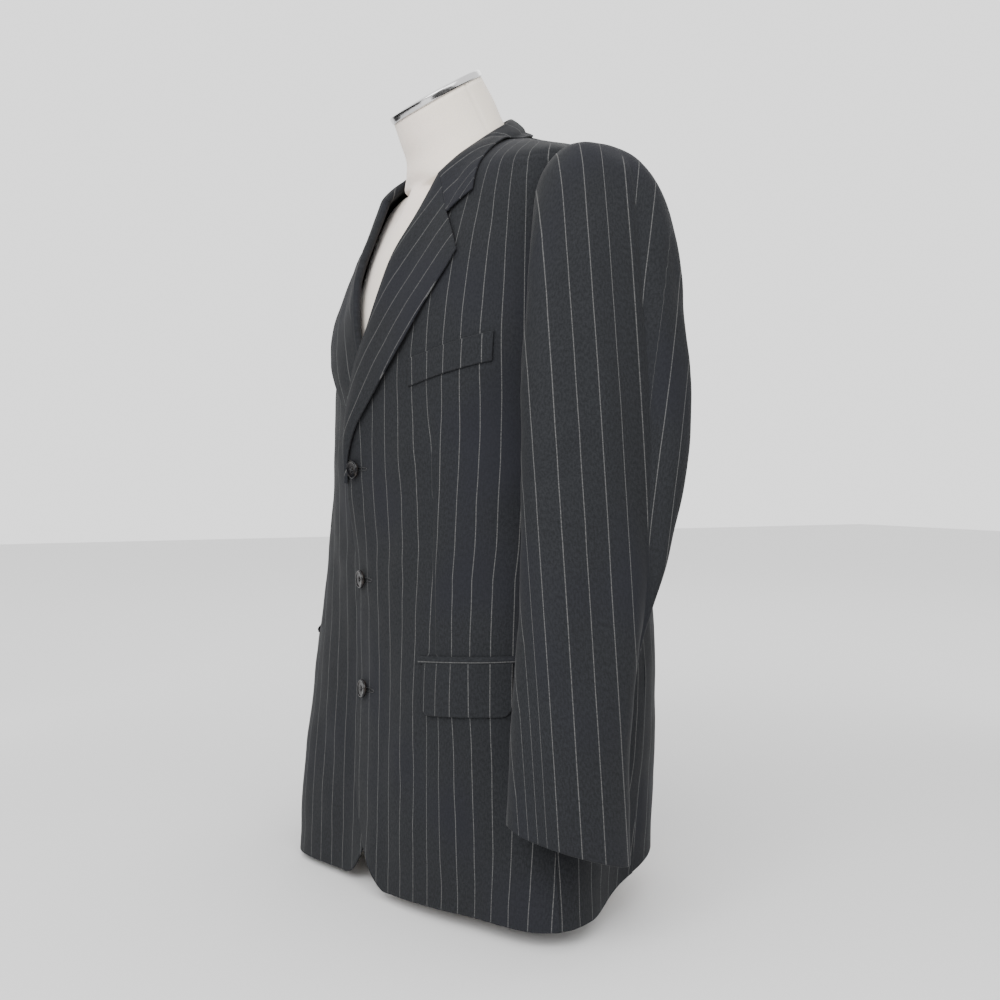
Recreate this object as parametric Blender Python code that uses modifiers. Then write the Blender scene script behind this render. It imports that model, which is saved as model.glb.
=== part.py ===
"""Three-button blazer on a limbless dress form.

Metres, +Z up. The front faces -Y and the wearer's left is +X. The origin is the centre of the
form's flat underside. Every piece of cloth is an open sheet through worked-out sections, which
Solidify gives the thickness of the cloth.
"""

import math

import bmesh
import bpy
from mathutils import Matrix, Vector
from mathutils.bvhtree import BVHTree

COLLECTION = "three_button_blazer"

# ---------------------------------------------------------------- driving sizes
WALL = 0.0018            # cloth, interlining and seam allowance together
SEAM_GAP = 0.0003        # between neighbouring pieces
LAYER_GAP = 0.0008       # between a piece and the panel it lies on
CENTRE_X = 0.015         # the buttoned fronts hang this far towards the wearer's left
FRONT_OVERLAP = 0.020    # how far each front passes the line of the buttons
OVERLAP_LIFT = 0.0034    # the left front lies this much further out than the right
LIFT_FULL = 0.046        # over this width from its edge
LIFT_END = 0.100         # and is back on the body here
EDGE_PUFF = 0.0060       # the left edge swells out this much under the turn of the lapel
RIGHT_BELOW = 0.0125     # the right fold lies this much further in where the left covers it
PULL_WIDTH = 0.060       # the fronts rise to the fold line over this width
QUARTER_WIDTH = 0.085    # rounded lower corner of each front
QUARTER_HEIGHT = 0.096
QUARTER_ROUND = 1.5      # 2 would make the corner an ellipse, less cuts it away straighter
BUTTON_HEIGHTS = (0.434, 0.321, 0.208)
BUTTON_RADIUS = 0.0095
SIDE_FRONT_ANGLE = 80.0  # seams, as angles round the body from the centre front
SIDE_BACK_ANGLE = 110.0
ARMHOLE_ANGLE = 96.0     # middle of the armhole, and its half width and half height
ARMHOLE_HALF_ANGLE = 17.0
ARMHOLE_LEAN = 3.0       # its top lies this many degrees further back, its foot further forward
ARMHOLE_HEIGHT = 0.636
ARMHOLE_HALF_HEIGHT = 0.097
ARMHOLE_SQUARENESS = 2.2
ROLL_RADIUS = 0.0031     # of the fold of lapel and collar
CAP_RADIUS = 0.0545
CAP_HEIGHT = 0.0078
CAP_TILT = 32.0


def table(columns, *rows):
    """Rows of numbers under named columns."""
    names = columns.split()
    return [dict(zip(names, row)) for row in rows]


# Rings of the body from the hem up. station is the height at the side, the other heights are at
# the centre front and the centre back of the same ring.
BODY = table(
    "station front_z back_z half_width front_depth back_depth squareness",
    (0.018, 0.009, 0.088, 0.239, 0.138, 0.162, 2.0),
    (0.090, 0.083, 0.130, 0.236, 0.136, 0.161, 2.1),
    (0.190, 0.186, 0.202, 0.230, 0.134, 0.155, 2.3),
    (0.265, 0.264, 0.268, 0.224, 0.134, 0.152, 2.4),
    (0.340, 0.340, 0.341, 0.217, 0.136, 0.146, 2.4),
    (0.420, 0.420, 0.421, 0.212, 0.140, 0.141, 2.3),
    (0.490, 0.491, 0.492, 0.213, 0.141, 0.144, 2.2),
    (0.540, 0.547, 0.552, 0.218, 0.137, 0.150, 2.2),
    (0.590, 0.600, 0.608, 0.217, 0.127, 0.152, 2.2),
    (0.640, 0.648, 0.660, 0.211, 0.113, 0.150, 2.2),
    (0.685, 0.682, 0.702, 0.208, 0.097, 0.140, 2.2),
    (0.717, 0.706, 0.732, 0.209, 0.083, 0.118, 2.2),
    (0.735, 0.722, 0.750, 0.205, 0.073, 0.098, 2.2),
    (0.750, 0.737, 0.764, 0.168, 0.065, 0.083, 2.1),
    (0.764, 0.752, 0.776, 0.122, 0.058, 0.064, 2.0),
    (0.778, 0.764, 0.786, 0.082, 0.050, 0.044, 2.0),
)

# The right front hangs lower at its hem: where, over how wide an angle, how far, and up to where.
HEM_DROP = {"angle": -52.0, "half_angle": 26.0, "depth": 0.008, "fade_height": 0.16}

# Soft flares of the skirt: where each lies round the body, its half width, how far it stands out
# at the hem and the height where it has died away.
FLARES = table(
    "angle half_angle depth fade_height",
    (78.0, 11.0, 0.030, 0.20),
    (103.0, 14.0, -0.024, 0.26),
    (131.0, 12.0, -0.006, 0.32),
    (158.0, 12.0, 0.009, 0.30),
    (-44.0, 22.0, 0.045, 0.46),
    (-80.0, 13.0, 0.014, 0.30),
    (-106.0, 12.0, -0.012, 0.28),
    (-134.0, 12.0, 0.008, 0.32),
    (-163.0, 10.0, -0.004, 0.30),
)

# Sections of the left lapel and collar, from the break at the front edge up and round to the
# centre back: the fold line, and the outer edge that lies on the chest or the back.
LAPEL = table(
    "roll_x roll_y roll_z edge_x edge_y edge_z",
    (-0.0070, -0.1500, 0.422, 0.0010, -0.1490, 0.420),
    (-0.0060, -0.1535, 0.452, 0.0065, -0.1500, 0.446),
    (-0.0005, -0.1535, 0.492, 0.0250, -0.1460, 0.480),
    (0.0100, -0.1490, 0.535, 0.0590, -0.1340, 0.517),
    (0.0245, -0.1410, 0.575, 0.0890, -0.1200, 0.555),
    (0.0370, -0.1300, 0.620, 0.1150, -0.1060, 0.598),
    (0.0475, -0.1185, 0.655, 0.1360, -0.0830, 0.643),
    (0.0600, -0.0995, 0.692, 0.1440, -0.0680, 0.688),
    (0.0705, -0.0800, 0.732, 0.1460, -0.0530, 0.735),
)
LAPEL_TIP = 6            # the section that ends at the lapel's tip
NOTCH_ACROSS = 0.56      # how far out from the fold the notch begins
SPRING = {1: 0.003, -1: 0.009}  # how far the free edge of each lapel stands off the chest
GORGE_GAP = 0.018        # between lapel and collar, in sections
COLLAR_TURN = 1.6        # the collar has taken its own slope by this section
RIGHT_START = 2.5        # the hidden lower end of the right lapel, at its fold
RIGHT_START_EDGE = 1.4   # and at its outer edge

COLLAR = table(
    "roll_x roll_y roll_z edge_x edge_y edge_z stand",
    (0.0705, -0.0800, 0.732, 0.1310, -0.0640, 0.703, 0.007),
    (0.0765, -0.0600, 0.752, 0.1230, -0.0530, 0.727, 0.007),
    (0.0785, -0.0340, 0.772, 0.1120, -0.0330, 0.746, 0.008),
    (0.0720, -0.0090, 0.789, 0.0960, -0.0040, 0.764, 0.009),
    (0.0540, 0.0075, 0.801, 0.0730, 0.0200, 0.777, 0.010),
    (0.0285, 0.0195, 0.809, 0.0415, 0.0350, 0.786, 0.011),
    (0.0000, 0.0265, 0.812, 0.0000, 0.0440, 0.788, 0.011),
)

# Sections of the left sleeve after the armhole: the outer and the inner side in front view, how
# far it reaches forward and back, the depth of the long fold and where it and the back seam lie.
SLEEVE = table(
    "outer_x outer_z inner_x inner_z fore_y back_y fold fold_angle seam_angle",
    (0.226, 0.739, 0.2330, 0.535, -0.058, 0.076, 0.001, -8.0, -98.0),
    (0.244, 0.734, 0.2330, 0.528, -0.064, 0.079, 0.003, -8.0, -97.0),
    (0.262, 0.713, 0.2340, 0.519, -0.070, 0.081, 0.006, -10.0, -96.0),
    (0.275, 0.664, 0.2355, 0.508, -0.075, 0.081, 0.009, -10.0, -95.0),
    (0.284, 0.600, 0.2370, 0.492, -0.080, 0.080, 0.012, -12.0, -94.0),
    (0.292, 0.535, 0.2390, 0.468, -0.084, 0.082, 0.013, -14.0, -92.0),
    (0.297, 0.465, 0.2410, 0.435, -0.086, 0.078, 0.013, -18.0, -88.0),
    (0.300, 0.385, 0.2430, 0.380, -0.087, 0.056, 0.012, -30.0, -80.0),
    (0.302, 0.300, 0.2450, 0.300, -0.089, 0.027, 0.007, -60.0, -82.0),
    (0.305, 0.215, 0.2480, 0.222, -0.097, 0.010, 0.002, -74.0, -86.0),
    (0.307, 0.150, 0.2500, 0.160, -0.103, 0.007, 0.001, -78.0, -90.0),
    (0.308, 0.098, 0.2510, 0.110, -0.106, 0.006, 0.000, -80.0, -90.0),
)
SLEEVE_FRONT_SEAM = 122.0
SLEEVE_CUFF_RISE = 0.020  # the cuff is this much higher in front than behind
SLEEVE_TURN = 3.0         # the front of the sleeve hangs closer in
RIGHT_SLEEVE_BACK = 0.055  # the right sleeve hangs this much further back at the cuff
FOLD_HALF_ANGLE = 17.0

# The form inside the cloth: how far it stays inside each ring of the body, and how much further
# forward its chest comes in the middle.
FORM_TORSO = table(
    "station inset chest",
    (0.130, 0.030, 0.000),
    (0.190, 0.022, 0.000),
    (0.265, 0.020, 0.000),
    (0.340, 0.026, 0.000),
    (0.420, 0.030, 0.000),
    (0.490, 0.024, 0.000),
    (0.545, 0.014, 0.000),
    (0.595, 0.006, 0.002),
    (0.645, 0.005, 0.006),
    (0.690, 0.005, 0.010),
    (0.716, 0.006, 0.013),
    (0.734, 0.007, 0.018),
    (0.746, 0.008, 0.021),
)
CHEST_HALF_ANGLE = 24.0
FORM_BASE = table(
    "height half_width half_depth middle_y",
    (0.000, 0.125, 0.075, 0.010),
    (0.006, 0.132, 0.081, 0.010),
    (0.035, 0.158, 0.100, 0.009),
    (0.080, 0.182, 0.118, 0.006),
)
FORM_NECK = table(
    "middle_y height half_width half_depth tilt",
    (-0.0130, 0.7480, 0.096, 0.064, 9.0),
    (-0.0200, 0.7640, 0.070, 0.062, 15.0),
    (-0.0290, 0.7850, 0.059, 0.056, 22.0),
    (-0.0390, 0.8070, 0.0545, 0.0555, 28.0),
    (-0.0505, 0.8290, 0.0530, 0.0530, 32.0),
)

# Pockets, in angle round the body and height.
FLAP_START = 46.3
FLAP_END = 72.0
FLAP_TOP = 0.248
FLAP_RISE = 0.0065       # the pocket slopes up towards the side by this much
FLAP_DROP = 0.0485
POCKET_BACK = {1: 0.0, -1: 5.0}  # the right one hangs this angle further back
JET_PAST = 1.9           # the lip above runs on past the flap by this angle at each end
FLAP_CORNER = 0.010
JET_HEIGHT = 0.0055
WELT = {"inner_x": 0.104, "outer_x": 0.187, "inner_z": 0.541, "outer_z": 0.562, "drop": 0.027}

COLOURS = {
    "cloth": (0.033, 0.035, 0.040, 1.0),
    "form_cloth": (0.76, 0.70, 0.62, 1.0),
    "metal": (0.72, 0.72, 0.73, 1.0),
    "button": (0.012, 0.012, 0.013, 1.0),
}
FINISH = {"cloth": (0.85, 0.0), "form_cloth": (0.8, 0.0), "metal": (0.18, 1.0), "button": (0.3, 0.0)}


# ---------------------------------------------------------------- small tools
def smooth(value):
    value = min(max(value, 0.0), 1.0)
    return value * value * (3.0 - 2.0 * value)


def read(rows, key, place, by=None):
    """Column key at a place along the rows: an index, or a value of column by. It is a cubic
    through the rows."""
    if by is None:
        spot = place
    else:
        last = len(rows) - 2
        low = max((i for i in range(last + 1) if rows[i][by] <= place), default=0)
        spot = low + (place - rows[low][by]) / (rows[low + 1][by] - rows[low][by])
    low = min(max(int(math.floor(spot)), 0), len(rows) - 2)
    part = spot - low
    at = [rows[min(max(i, 0), len(rows) - 1)][key] for i in (low - 1, low, low + 1, low + 2)]
    if by is None:
        slope_a = (at[2] - at[0]) / 2.0
        slope_b = (at[3] - at[1]) / 2.0
    else:
        here = [rows[min(max(i, 0), len(rows) - 1)][by] for i in (low - 1, low, low + 1, low + 2)]
        span = here[2] - here[1]
        slope_a = (at[2] - at[0]) / (here[2] - here[0]) * span
        slope_b = (at[3] - at[1]) / (here[3] - here[1]) * span
    square, cube = part * part, part * part * part
    return (
        at[1] * (2 * cube - 3 * square + 1)
        + at[2] * (3 * square - 2 * cube)
        + slope_a * (cube - 2 * square + part)
        + slope_b * (cube - square)
    )


def solve(function, low, high, steps=40):
    """Where a rising or falling function is zero."""
    rising = function(high) > function(low)
    for _ in range(steps):
        middle = (low + high) / 2.0
        if (function(middle) > 0.0) == rising:
            high = middle
        else:
            low = middle
    return (low + high) / 2.0


# ---------------------------------------------------------------- body of the coat
def ring_point(angle, station):
    """A point of the body's inner surface. angle is in degrees from the centre front towards the
    wearer's left, station is the height of the ring at the side."""
    turn = math.radians(angle)
    sine, cosine = math.sin(turn), math.cos(turn)
    half_width = read(BODY, "half_width", station, "station")
    depth = read(BODY, "front_depth" if cosine > 0 else "back_depth", station, "station")
    power = read(BODY, "squareness", station, "station")
    reach = (abs(sine / half_width) ** power + abs(cosine / depth) ** power) ** (-1.0 / power)
    for flare in FLARES:
        away = (angle - flare["angle"] + 180.0) % 360.0 - 180.0
        fade = smooth((flare["fade_height"] - station) / flare["fade_height"])
        reach += flare["depth"] * math.exp(-((away / flare["half_angle"]) ** 2)) * fade
    end_z = read(BODY, "front_z" if cosine > 0 else "back_z", station, "station")
    height = station + (end_z - station) * abs(cosine) ** (2.0 if cosine > 0 else 1.15)
    away = (angle - HEM_DROP["angle"] + 180.0) % 360.0 - 180.0
    fade = smooth((HEM_DROP["fade_height"] - station) / HEM_DROP["fade_height"])
    height -= HEM_DROP["depth"] * math.exp(-((away / HEM_DROP["half_angle"]) ** 2)) * fade
    return Vector((reach * sine, -reach * cosine, height))


def body(angle, station, lift=0.0):
    """The same point, moved out of the cloth's surface by lift."""
    here = ring_point(angle, station)
    if lift == 0.0:
        return here
    top = BODY[-1]["station"]
    up = min(station + 0.004, top)
    down = min(station, top - 0.004)
    round_it = ring_point(angle + 0.5, station) - ring_point(angle - 0.5, station)
    rise = ring_point(angle, up) - ring_point(angle, down)
    return here + round_it.cross(rise).normalized() * lift


def angle_at_x(x, station):
    return solve(lambda a: ring_point(a, station).x - x, -60.0, 88.0)


def station_at(angle, z):
    return solve(lambda h: ring_point(angle, h).z - z, BODY[0]["station"], BODY[-1]["station"])


def chest(x, z, lift):
    """A point over the front at a distance from the centre line and a height."""
    station = z
    for _ in range(6):
        angle = angle_at_x(x, station)
        station = station_at(angle, z)
    return body(angle, station, lift)


def armhole_angle(station, back=False):
    """Front or back edge of the armhole at a ring, or the shoulder seam above it."""
    share = min(max((station - ARMHOLE_HEIGHT) / ARMHOLE_HALF_HEIGHT, -1.0), 1.0)
    half = ARMHOLE_HALF_ANGLE * (1.0 - abs(share) ** ARMHOLE_SQUARENESS) ** (1.0 / ARMHOLE_SQUARENESS)
    return ARMHOLE_ANGLE + ARMHOLE_LEAN * share + (half if back else -half)


def armhole_edge(turn, grow=0.0):
    """Angle and ring of the armhole's edge. turn is 0 at the shoulder, 90 in front and 180 under
    the arm; grow moves it out."""
    sine, cosine = math.sin(math.radians(turn)), math.cos(math.radians(turn))
    power = 2.0 / ARMHOLE_SQUARENESS
    forward = math.copysign(abs(sine) ** power, sine)
    upward = math.copysign(abs(cosine) ** power, cosine)
    half = ARMHOLE_HALF_ANGLE + math.degrees(grow / 0.2)
    angle = ARMHOLE_ANGLE + ARMHOLE_LEAN * upward - half * forward
    return angle, ARMHOLE_HEIGHT + (ARMHOLE_HALF_HEIGHT + grow * 0.4) * upward


def armhole_floor(angle):
    turn = solve(lambda t: armhole_edge(t)[0] - angle, 110.0, 268.0)
    return armhole_edge(turn)[1]


def seam_angle(station, back=False):
    """The outer edge of a front, or of a back: the side seam, the armhole, the shoulder seam."""
    seam = SIDE_BACK_ANGLE if back else SIDE_FRONT_ANGLE
    if station < armhole_floor(seam):
        return seam
    return armhole_angle(station, back)


# Heights of the rings that the panels share, close together where the armhole turns.
STATIONS = (
    0.018, 0.048, 0.085, 0.125, 0.165, 0.210, 0.255, 0.300, 0.345, 0.385, 0.425, 0.455, 0.490,
    0.516, 0.542, armhole_floor(SIDE_FRONT_ANGLE), 0.602, 0.632, 0.662, 0.690, 0.711, 0.725,
    0.733, 0.7425, 0.7505, 0.7575, 0.764,
)
SEAM_TURN = math.degrees(SEAM_GAP / 2.0 / 0.19)


# ---------------------------------------------------------------- lapel and collar sections
def row_vector(rows, name, spot):
    return Vector([read(rows, f"{name}_{axis}", spot) for axis in "xyz"])


def roll_at(total):
    """The fold line of lapel and collar together, by section number from the break."""
    last = len(LAPEL) - 1.0
    if total <= last:
        return row_vector(LAPEL, "roll", max(total, 0.0))
    top = len(COLLAR) - 1.0
    here = row_vector(COLLAR, "roll", min(total - last, 2.0 * top - (total - last)))
    if total - last > top:
        here.x = -here.x
    return here


def fold_frame(rows, spot):
    """Fold line point, edge point, the direction across, and the way out, at a section."""
    total = spot if rows is LAPEL else spot + len(LAPEL) - 1.0
    roll = roll_at(total)
    edge = row_vector(rows, "edge", spot)
    along = roll_at(total + 0.25) - roll_at(total - 0.25)
    across = (edge - roll).normalized()
    if rows is COLLAR and spot < COLLAR_TURN:
        top = (row_vector(LAPEL, "edge", len(LAPEL) - 1.0) - roll_at(len(LAPEL) - 1.0)).normalized()
        across = top.lerp(across, smooth(spot / COLLAR_TURN)).normalized()
    out = across.cross(along).normalized()
    return roll, edge, across, out


def fold_point(rows, spot, place):
    """A point of a folded-over piece. place runs from -3 inside the coat round the fold at -1
    to 0 on top of it, and on to 1 at the outer edge."""
    roll, edge, across, out = fold_frame(rows, spot)
    width = (edge - roll).length
    radius = min(ROLL_RADIUS, 0.4 * width)
    middle = roll + across * radius
    if place <= -2.0:
        stand = read(rows, "stand", spot) if "stand" in rows[0] else 0.007 * smooth(spot / 1.5)
        return middle - out * radius + across * (stand * (-2.0 - place) + 0.0006 * (-1.0 - place))
    if place < 0.0:
        turn = math.pi * (-place / 2.0)
        return middle + out * radius * math.cos(turn) - across * radius * math.sin(turn)
    return (middle + out * radius).lerp(edge, place)


def shifted(here, side, spot):
    """A point of the lapel's sections on its own side. The right one crosses under the left."""
    if side > 0:
        return here
    x = here.x - 2.0 * CENTRE_X * (1.0 - smooth(spot / 5.0))
    y = here.y + RIGHT_BELOW * (1.0 - smooth((spot - 3.0) / 2.6))
    return Vector((-x, y, here.z))


def fold_core(spot):
    """Where the panel's own cloth ends inside the fold, along lapel and collar. spot runs over
    the lapel's sections and then the collar's."""
    last = len(LAPEL) - 1.0
    rows, here = (LAPEL, spot) if spot <= last else (COLLAR, spot - last)
    roll, edge, across, out = fold_frame(rows, here)
    radius = min(ROLL_RADIUS, 0.4 * (edge - roll).length)
    return roll + across * (radius + 0.0006) - out * (WALL / 2.0)


def core_rows(side):
    """The end of a front's cloth in the fold, as rows that name the ring it crosses."""
    rows = []
    for i in range(49):
        spot = i * 0.2
        core = shifted(fold_core(spot), side, spot)
        angle = math.degrees(math.atan2(core.x, -core.y))
        station = solve(lambda h: ring_point(angle, h).z - core.z, 0.30, STATIONS[-1] + 0.010)
        rows.append({"station": station, "spot": spot, "x": core.x, "y": core.y, "z": core.z})
        if station > STATIONS[-1]:
            break
    return rows


CORES = {1: core_rows(1), -1: core_rows(-1)}


def roll_bearing(spot):
    """Direction of the collar's fold line, seen from above, as an angle from the centre front."""
    roll = row_vector(COLLAR, "roll", spot)
    return math.degrees(math.atan2(roll.x, -roll.y))


# Above the last ring the panels follow the collar: how far below its fold line each row lies, as
# a share of the collar's width, and how far round the fold line has moved on at its front end.
NECK_ROWS = table("reach further", (0.72, 0.15), (0.48, 0.30), (0.24, 0.45), (0.00, 0.60))


def neck_point(side, bearing, row, near_end=1.0):
    spot = solve(lambda t: roll_bearing(t) - bearing, 0.4, len(COLLAR) - 1.0)
    roll, edge, across, out = fold_frame(COLLAR, spot)
    here = fold_core(len(LAPEL) - 1.0 + spot) + across * (edge - roll).length * row["reach"] * near_end
    return Vector((side * here.x, here.y, here.z))


# ---------------------------------------------------------------- building
def material(name):
    made = bpy.data.materials.get(name)
    if made:
        return made
    made = bpy.data.materials.new(name)
    made.use_nodes = True
    shader = made.node_tree.nodes["Principled BSDF"]
    shader.inputs["Base Color"].default_value = COLOURS[name]
    shader.inputs["Roughness"].default_value, shader.inputs["Metallic"].default_value = FINISH[name]
    made.diffuse_color = COLOURS[name]
    return made


def add_object(name, bm, finish, smooth_shaded=True):
    mesh = bpy.data.meshes.new(name)
    bm.to_mesh(mesh)
    bm.free()
    made = bpy.data.objects.new(name, mesh)
    bpy.data.collections[COLLECTION].objects.link(made)
    mesh.materials.append(material(finish))
    if smooth_shaded:
        mesh.shade_smooth()
    return made


def cloth_sheet(name, columns, rows, point, side=1, wall=WALL, offset=1.0):
    """A sheet through point(u, v) with the cloth's thickness outside it (offset 1) or on both
    sides of it (offset 0). side -1 is for points that run the other way round."""
    bm = bmesh.new()
    bmesh.ops.create_grid(bm, x_segments=len(columns) - 1, y_segments=len(rows) - 1, size=0.5)
    for vert in bm.verts:
        u = columns[round((vert.co.x + 0.5) * (len(columns) - 1))]
        v = rows[round((vert.co.y + 0.5) * (len(rows) - 1))]
        vert.co = point(u, v)
    if side < 0:
        bmesh.ops.reverse_faces(bm, faces=bm.faces)
    made = add_object(name, bm, "cloth")
    thick = made.modifiers.new("Thickness", "SOLIDIFY")
    thick.thickness = wall
    thick.offset = offset
    thick.use_even_offset = True
    thick.use_quality_normals = True
    return made


def mirrored(here, side):
    return Vector((side * here.x, here.y, here.z))


def shares(count, power=1.0):
    return [(i / count) ** power for i in range(count + 1)]


def front_span(side, station):
    """The inner and outer angle of a front on a ring, and its fold point above the break."""
    outer = side * (seam_angle(station) - SEAM_TURN)
    cores = CORES[side]
    if station < cores[0]["station"]:
        return angle_at_x(CENTRE_X - side * FRONT_OVERLAP, station), outer, None
    core = Vector([read(cores, key, station, "station") for key in "xyz"])
    return math.degrees(math.atan2(core.x, -core.y)), outer, core


def front_point(side, u, station):
    """The inner surface of a front. u runs from its edge or fold line to its outer seam."""
    inner, outer, core = front_span(side, station)
    angle = inner + (outer - inner) * u
    from_edge = u * abs(outer - inner) * 0.0033
    bottom, top = BODY[0]["station"], 0.170
    if station < top and from_edge < QUARTER_WIDTH:
        share = 1.0 - from_edge / QUARTER_WIDTH
        level = max(1.0 - share**QUARTER_ROUND, 0.0) ** (1.0 / QUARTER_ROUND)
        rounded = QUARTER_HEIGHT * (1.0 - level)
        station = bottom + rounded + (station - bottom) * (top - bottom - rounded) / (top - bottom)
    if core is None:
        lift = 0.0001
        if side > 0:
            lift += OVERLAP_LIFT * smooth((LIFT_END - from_edge) / (LIFT_END - LIFT_FULL))
            rise = smooth((station - 0.33) / (CORES[1][0]["station"] - 0.33))
            lift += EDGE_PUFF * rise * smooth(1.0 - from_edge / 0.05)
        return body(angle, station, lift)
    pull = smooth(1.0 - from_edge / PULL_WIDTH)
    lift = 0.0001
    if side > 0:
        over = 1.0 - smooth((station - 0.50) / 0.07)
        lift += OVERLAP_LIFT * over * smooth((LIFT_END - from_edge) / (LIFT_END - LIFT_FULL)) * (1 - pull)
    return body(angle, station, lift) + (core - body(inner, station)) * pull


def build_front(side):
    """One front from its edge and fold line to the side seam, the armhole and the shoulder."""
    last = STATIONS[-1]

    def point(u, v):
        if v < 1.0:
            return front_point(side, u, v)
        row = NECK_ROWS[int(v) - 1]
        start = read(CORES[side], "spot", last, "station") - (len(LAPEL) - 1.0) + row["further"]
        inner, outer = roll_bearing(start), armhole_angle(1.0) - SEAM_TURN
        return neck_point(side, inner + (outer - inner) * u, row, smooth(u / 0.6))

    name = "front_left" if side > 0 else "front_right"
    rows = list(STATIONS) + [1.0, 2.0, 3.0, 4.0]
    return cloth_sheet(name, shares(13, 1.35), rows, point, side)


def build_side(side):
    """The panel under the arm."""
    def point(u, station):
        angle = SIDE_FRONT_ANGLE + SEAM_TURN + (SIDE_BACK_ANGLE - SIDE_FRONT_ANGLE - 2 * SEAM_TURN) * u
        floor, low = armhole_floor(SIDE_FRONT_ANGLE), 0.490
        if station > low:
            station = low + (station - low) * (armhole_floor(angle) - low) / (floor - low)
        return body(side * angle, station)

    floor = armhole_floor(SIDE_FRONT_ANGLE)
    rows = [h for h in STATIONS if h <= floor]
    name = "side_left" if side > 0 else "side_right"
    return cloth_sheet(name, shares(6), rows, point, side)


def build_back(side):
    """One half of the back, from the side seam to the seam down the middle."""
    def point(u, v):
        if v < 1.0:
            outer = seam_angle(v, back=True) + SEAM_TURN
            return body(side * (outer + (180.0 - SEAM_TURN - outer) * u), v)
        outer = armhole_angle(1.0) + SEAM_TURN
        here = neck_point(side, outer + (180.0 - outer) * u, NECK_ROWS[int(v) - 1])
        here.x = side * max(side * here.x, SEAM_GAP / 2.0)
        return here

    name = "back_left" if side > 0 else "back_right"
    return cloth_sheet(name, shares(8), list(STATIONS) + [1.0, 2.0, 3.0, 4.0], point, side)


FOLD_PLACES = (-3.0, -2.0, -1.5, -1.0, -0.5, 0.0, 0.13, 0.27, 0.40, NOTCH_ACROSS, 0.69, 0.85, 1.0)


def surface_of(*objects):
    """The finished faces of some objects, for laying pieces on them."""
    scene = bmesh.new()
    graph = bpy.context.evaluated_depsgraph_get()
    for item in objects:
        part = item.evaluated_get(graph).to_mesh()
        scene.from_mesh(part)
    tree = BVHTree.FromBMesh(scene)
    scene.free()
    return tree


def laid(tree, here, out, lift):
    """A point moved along out until it lies lift above the surface."""
    aside = Vector((0.0015, 0.0, 0.0)) if abs(here.x) < 0.001 else Vector()
    hit = tree.ray_cast(here + aside + out * 0.04, -out, 0.08)[0]
    return here if hit is None else hit - aside + out * lift


def top_lift(place):
    """Middle of a turned-over layer above the cloth it lies on."""
    near = max(1.0 - place / 0.3, 0.0)
    flat = LAYER_GAP + 0.0008 + WALL / 2.0
    return flat + (ROLL_RADIUS - WALL / 2.0 - flat) * near + 0.0016 * math.sin(math.pi * place)


def gorge_spot(place):
    """The lapel's upper end, as a section number: it runs down from the fold to the tip."""
    top = len(LAPEL) - 1.0
    return top + (LAPEL_TIP - top) * min(max(place, 0.0), 1.0)


def lapel_point(side, place, spot, tree):
    here = shifted(fold_point(LAPEL, spot, place), side, spot)
    if place <= 0.0:
        return here
    out = fold_frame(LAPEL, spot)[3]
    out.x *= side
    low = 0.0 if side > 0 else 2.2
    spring = SPRING[side] * place**2 * math.sin(math.pi * min(max((spot - low) / (7.0 - low), 0), 1)) ** 2
    return laid(tree, here, out, top_lift(place) + spring)


def build_lapel(side, tree):
    def point(place, v):
        low = 0.0
        if side < 0:
            low = RIGHT_START + (RIGHT_START_EDGE - RIGHT_START) * max(place, 0.0)
        high = gorge_spot(place) - GORGE_GAP
        return lapel_point(side, place, low + (high - low) * v, tree)

    name = "lapel_left" if side > 0 else "lapel_right"
    return cloth_sheet(name, FOLD_PLACES, shares(13), point, side, offset=0.0)


def build_collar(tree):
    """The collar in one piece, from the left gorge round the neck to the right gorge."""
    last = len(COLLAR) - 1.0
    start = fold_point(COLLAR, 0.0, 1.0)

    def front_end(place):
        meeting = fold_point(LAPEL, gorge_spot(min(place, NOTCH_ACROSS)), min(place, NOTCH_ACROSS))
        if place <= NOTCH_ACROSS:
            return meeting
        return meeting.lerp(start, (place - NOTCH_ACROSS) / (1.0 - NOTCH_ACROSS))

    def point(place, v):
        side = 1.0 if v >= 0.0 else -1.0
        spot = last * (1.0 - abs(v))
        here = fold_point(COLLAR, spot, place)
        bend = front_end(place) - fold_point(COLLAR, 0.0, place)
        here = mirrored(here + bend * smooth(1.0 - spot / 1.6), side)
        if place <= 0.0:
            return here
        out = fold_frame(COLLAR, spot)[3]
        if spot < 1.0:
            out = out.lerp(fold_frame(LAPEL, gorge_spot(place))[3], 1.0 - spot).normalized()
        return laid(tree, here, mirrored(out, side), top_lift(place))

    rows = [-1.0 + i / 10.0 for i in range(21)]
    return cloth_sheet("collar", FOLD_PLACES, rows, lambda u, v: point(u, -v), offset=0.0)


# ---------------------------------------------------------------- sleeves
def armhole_point(turn, grow=0.0, lift=0.0):
    """The edge of the armhole, moved out."""
    angle, station = armhole_edge(turn, grow)
    return body(angle, station, lift)


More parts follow.
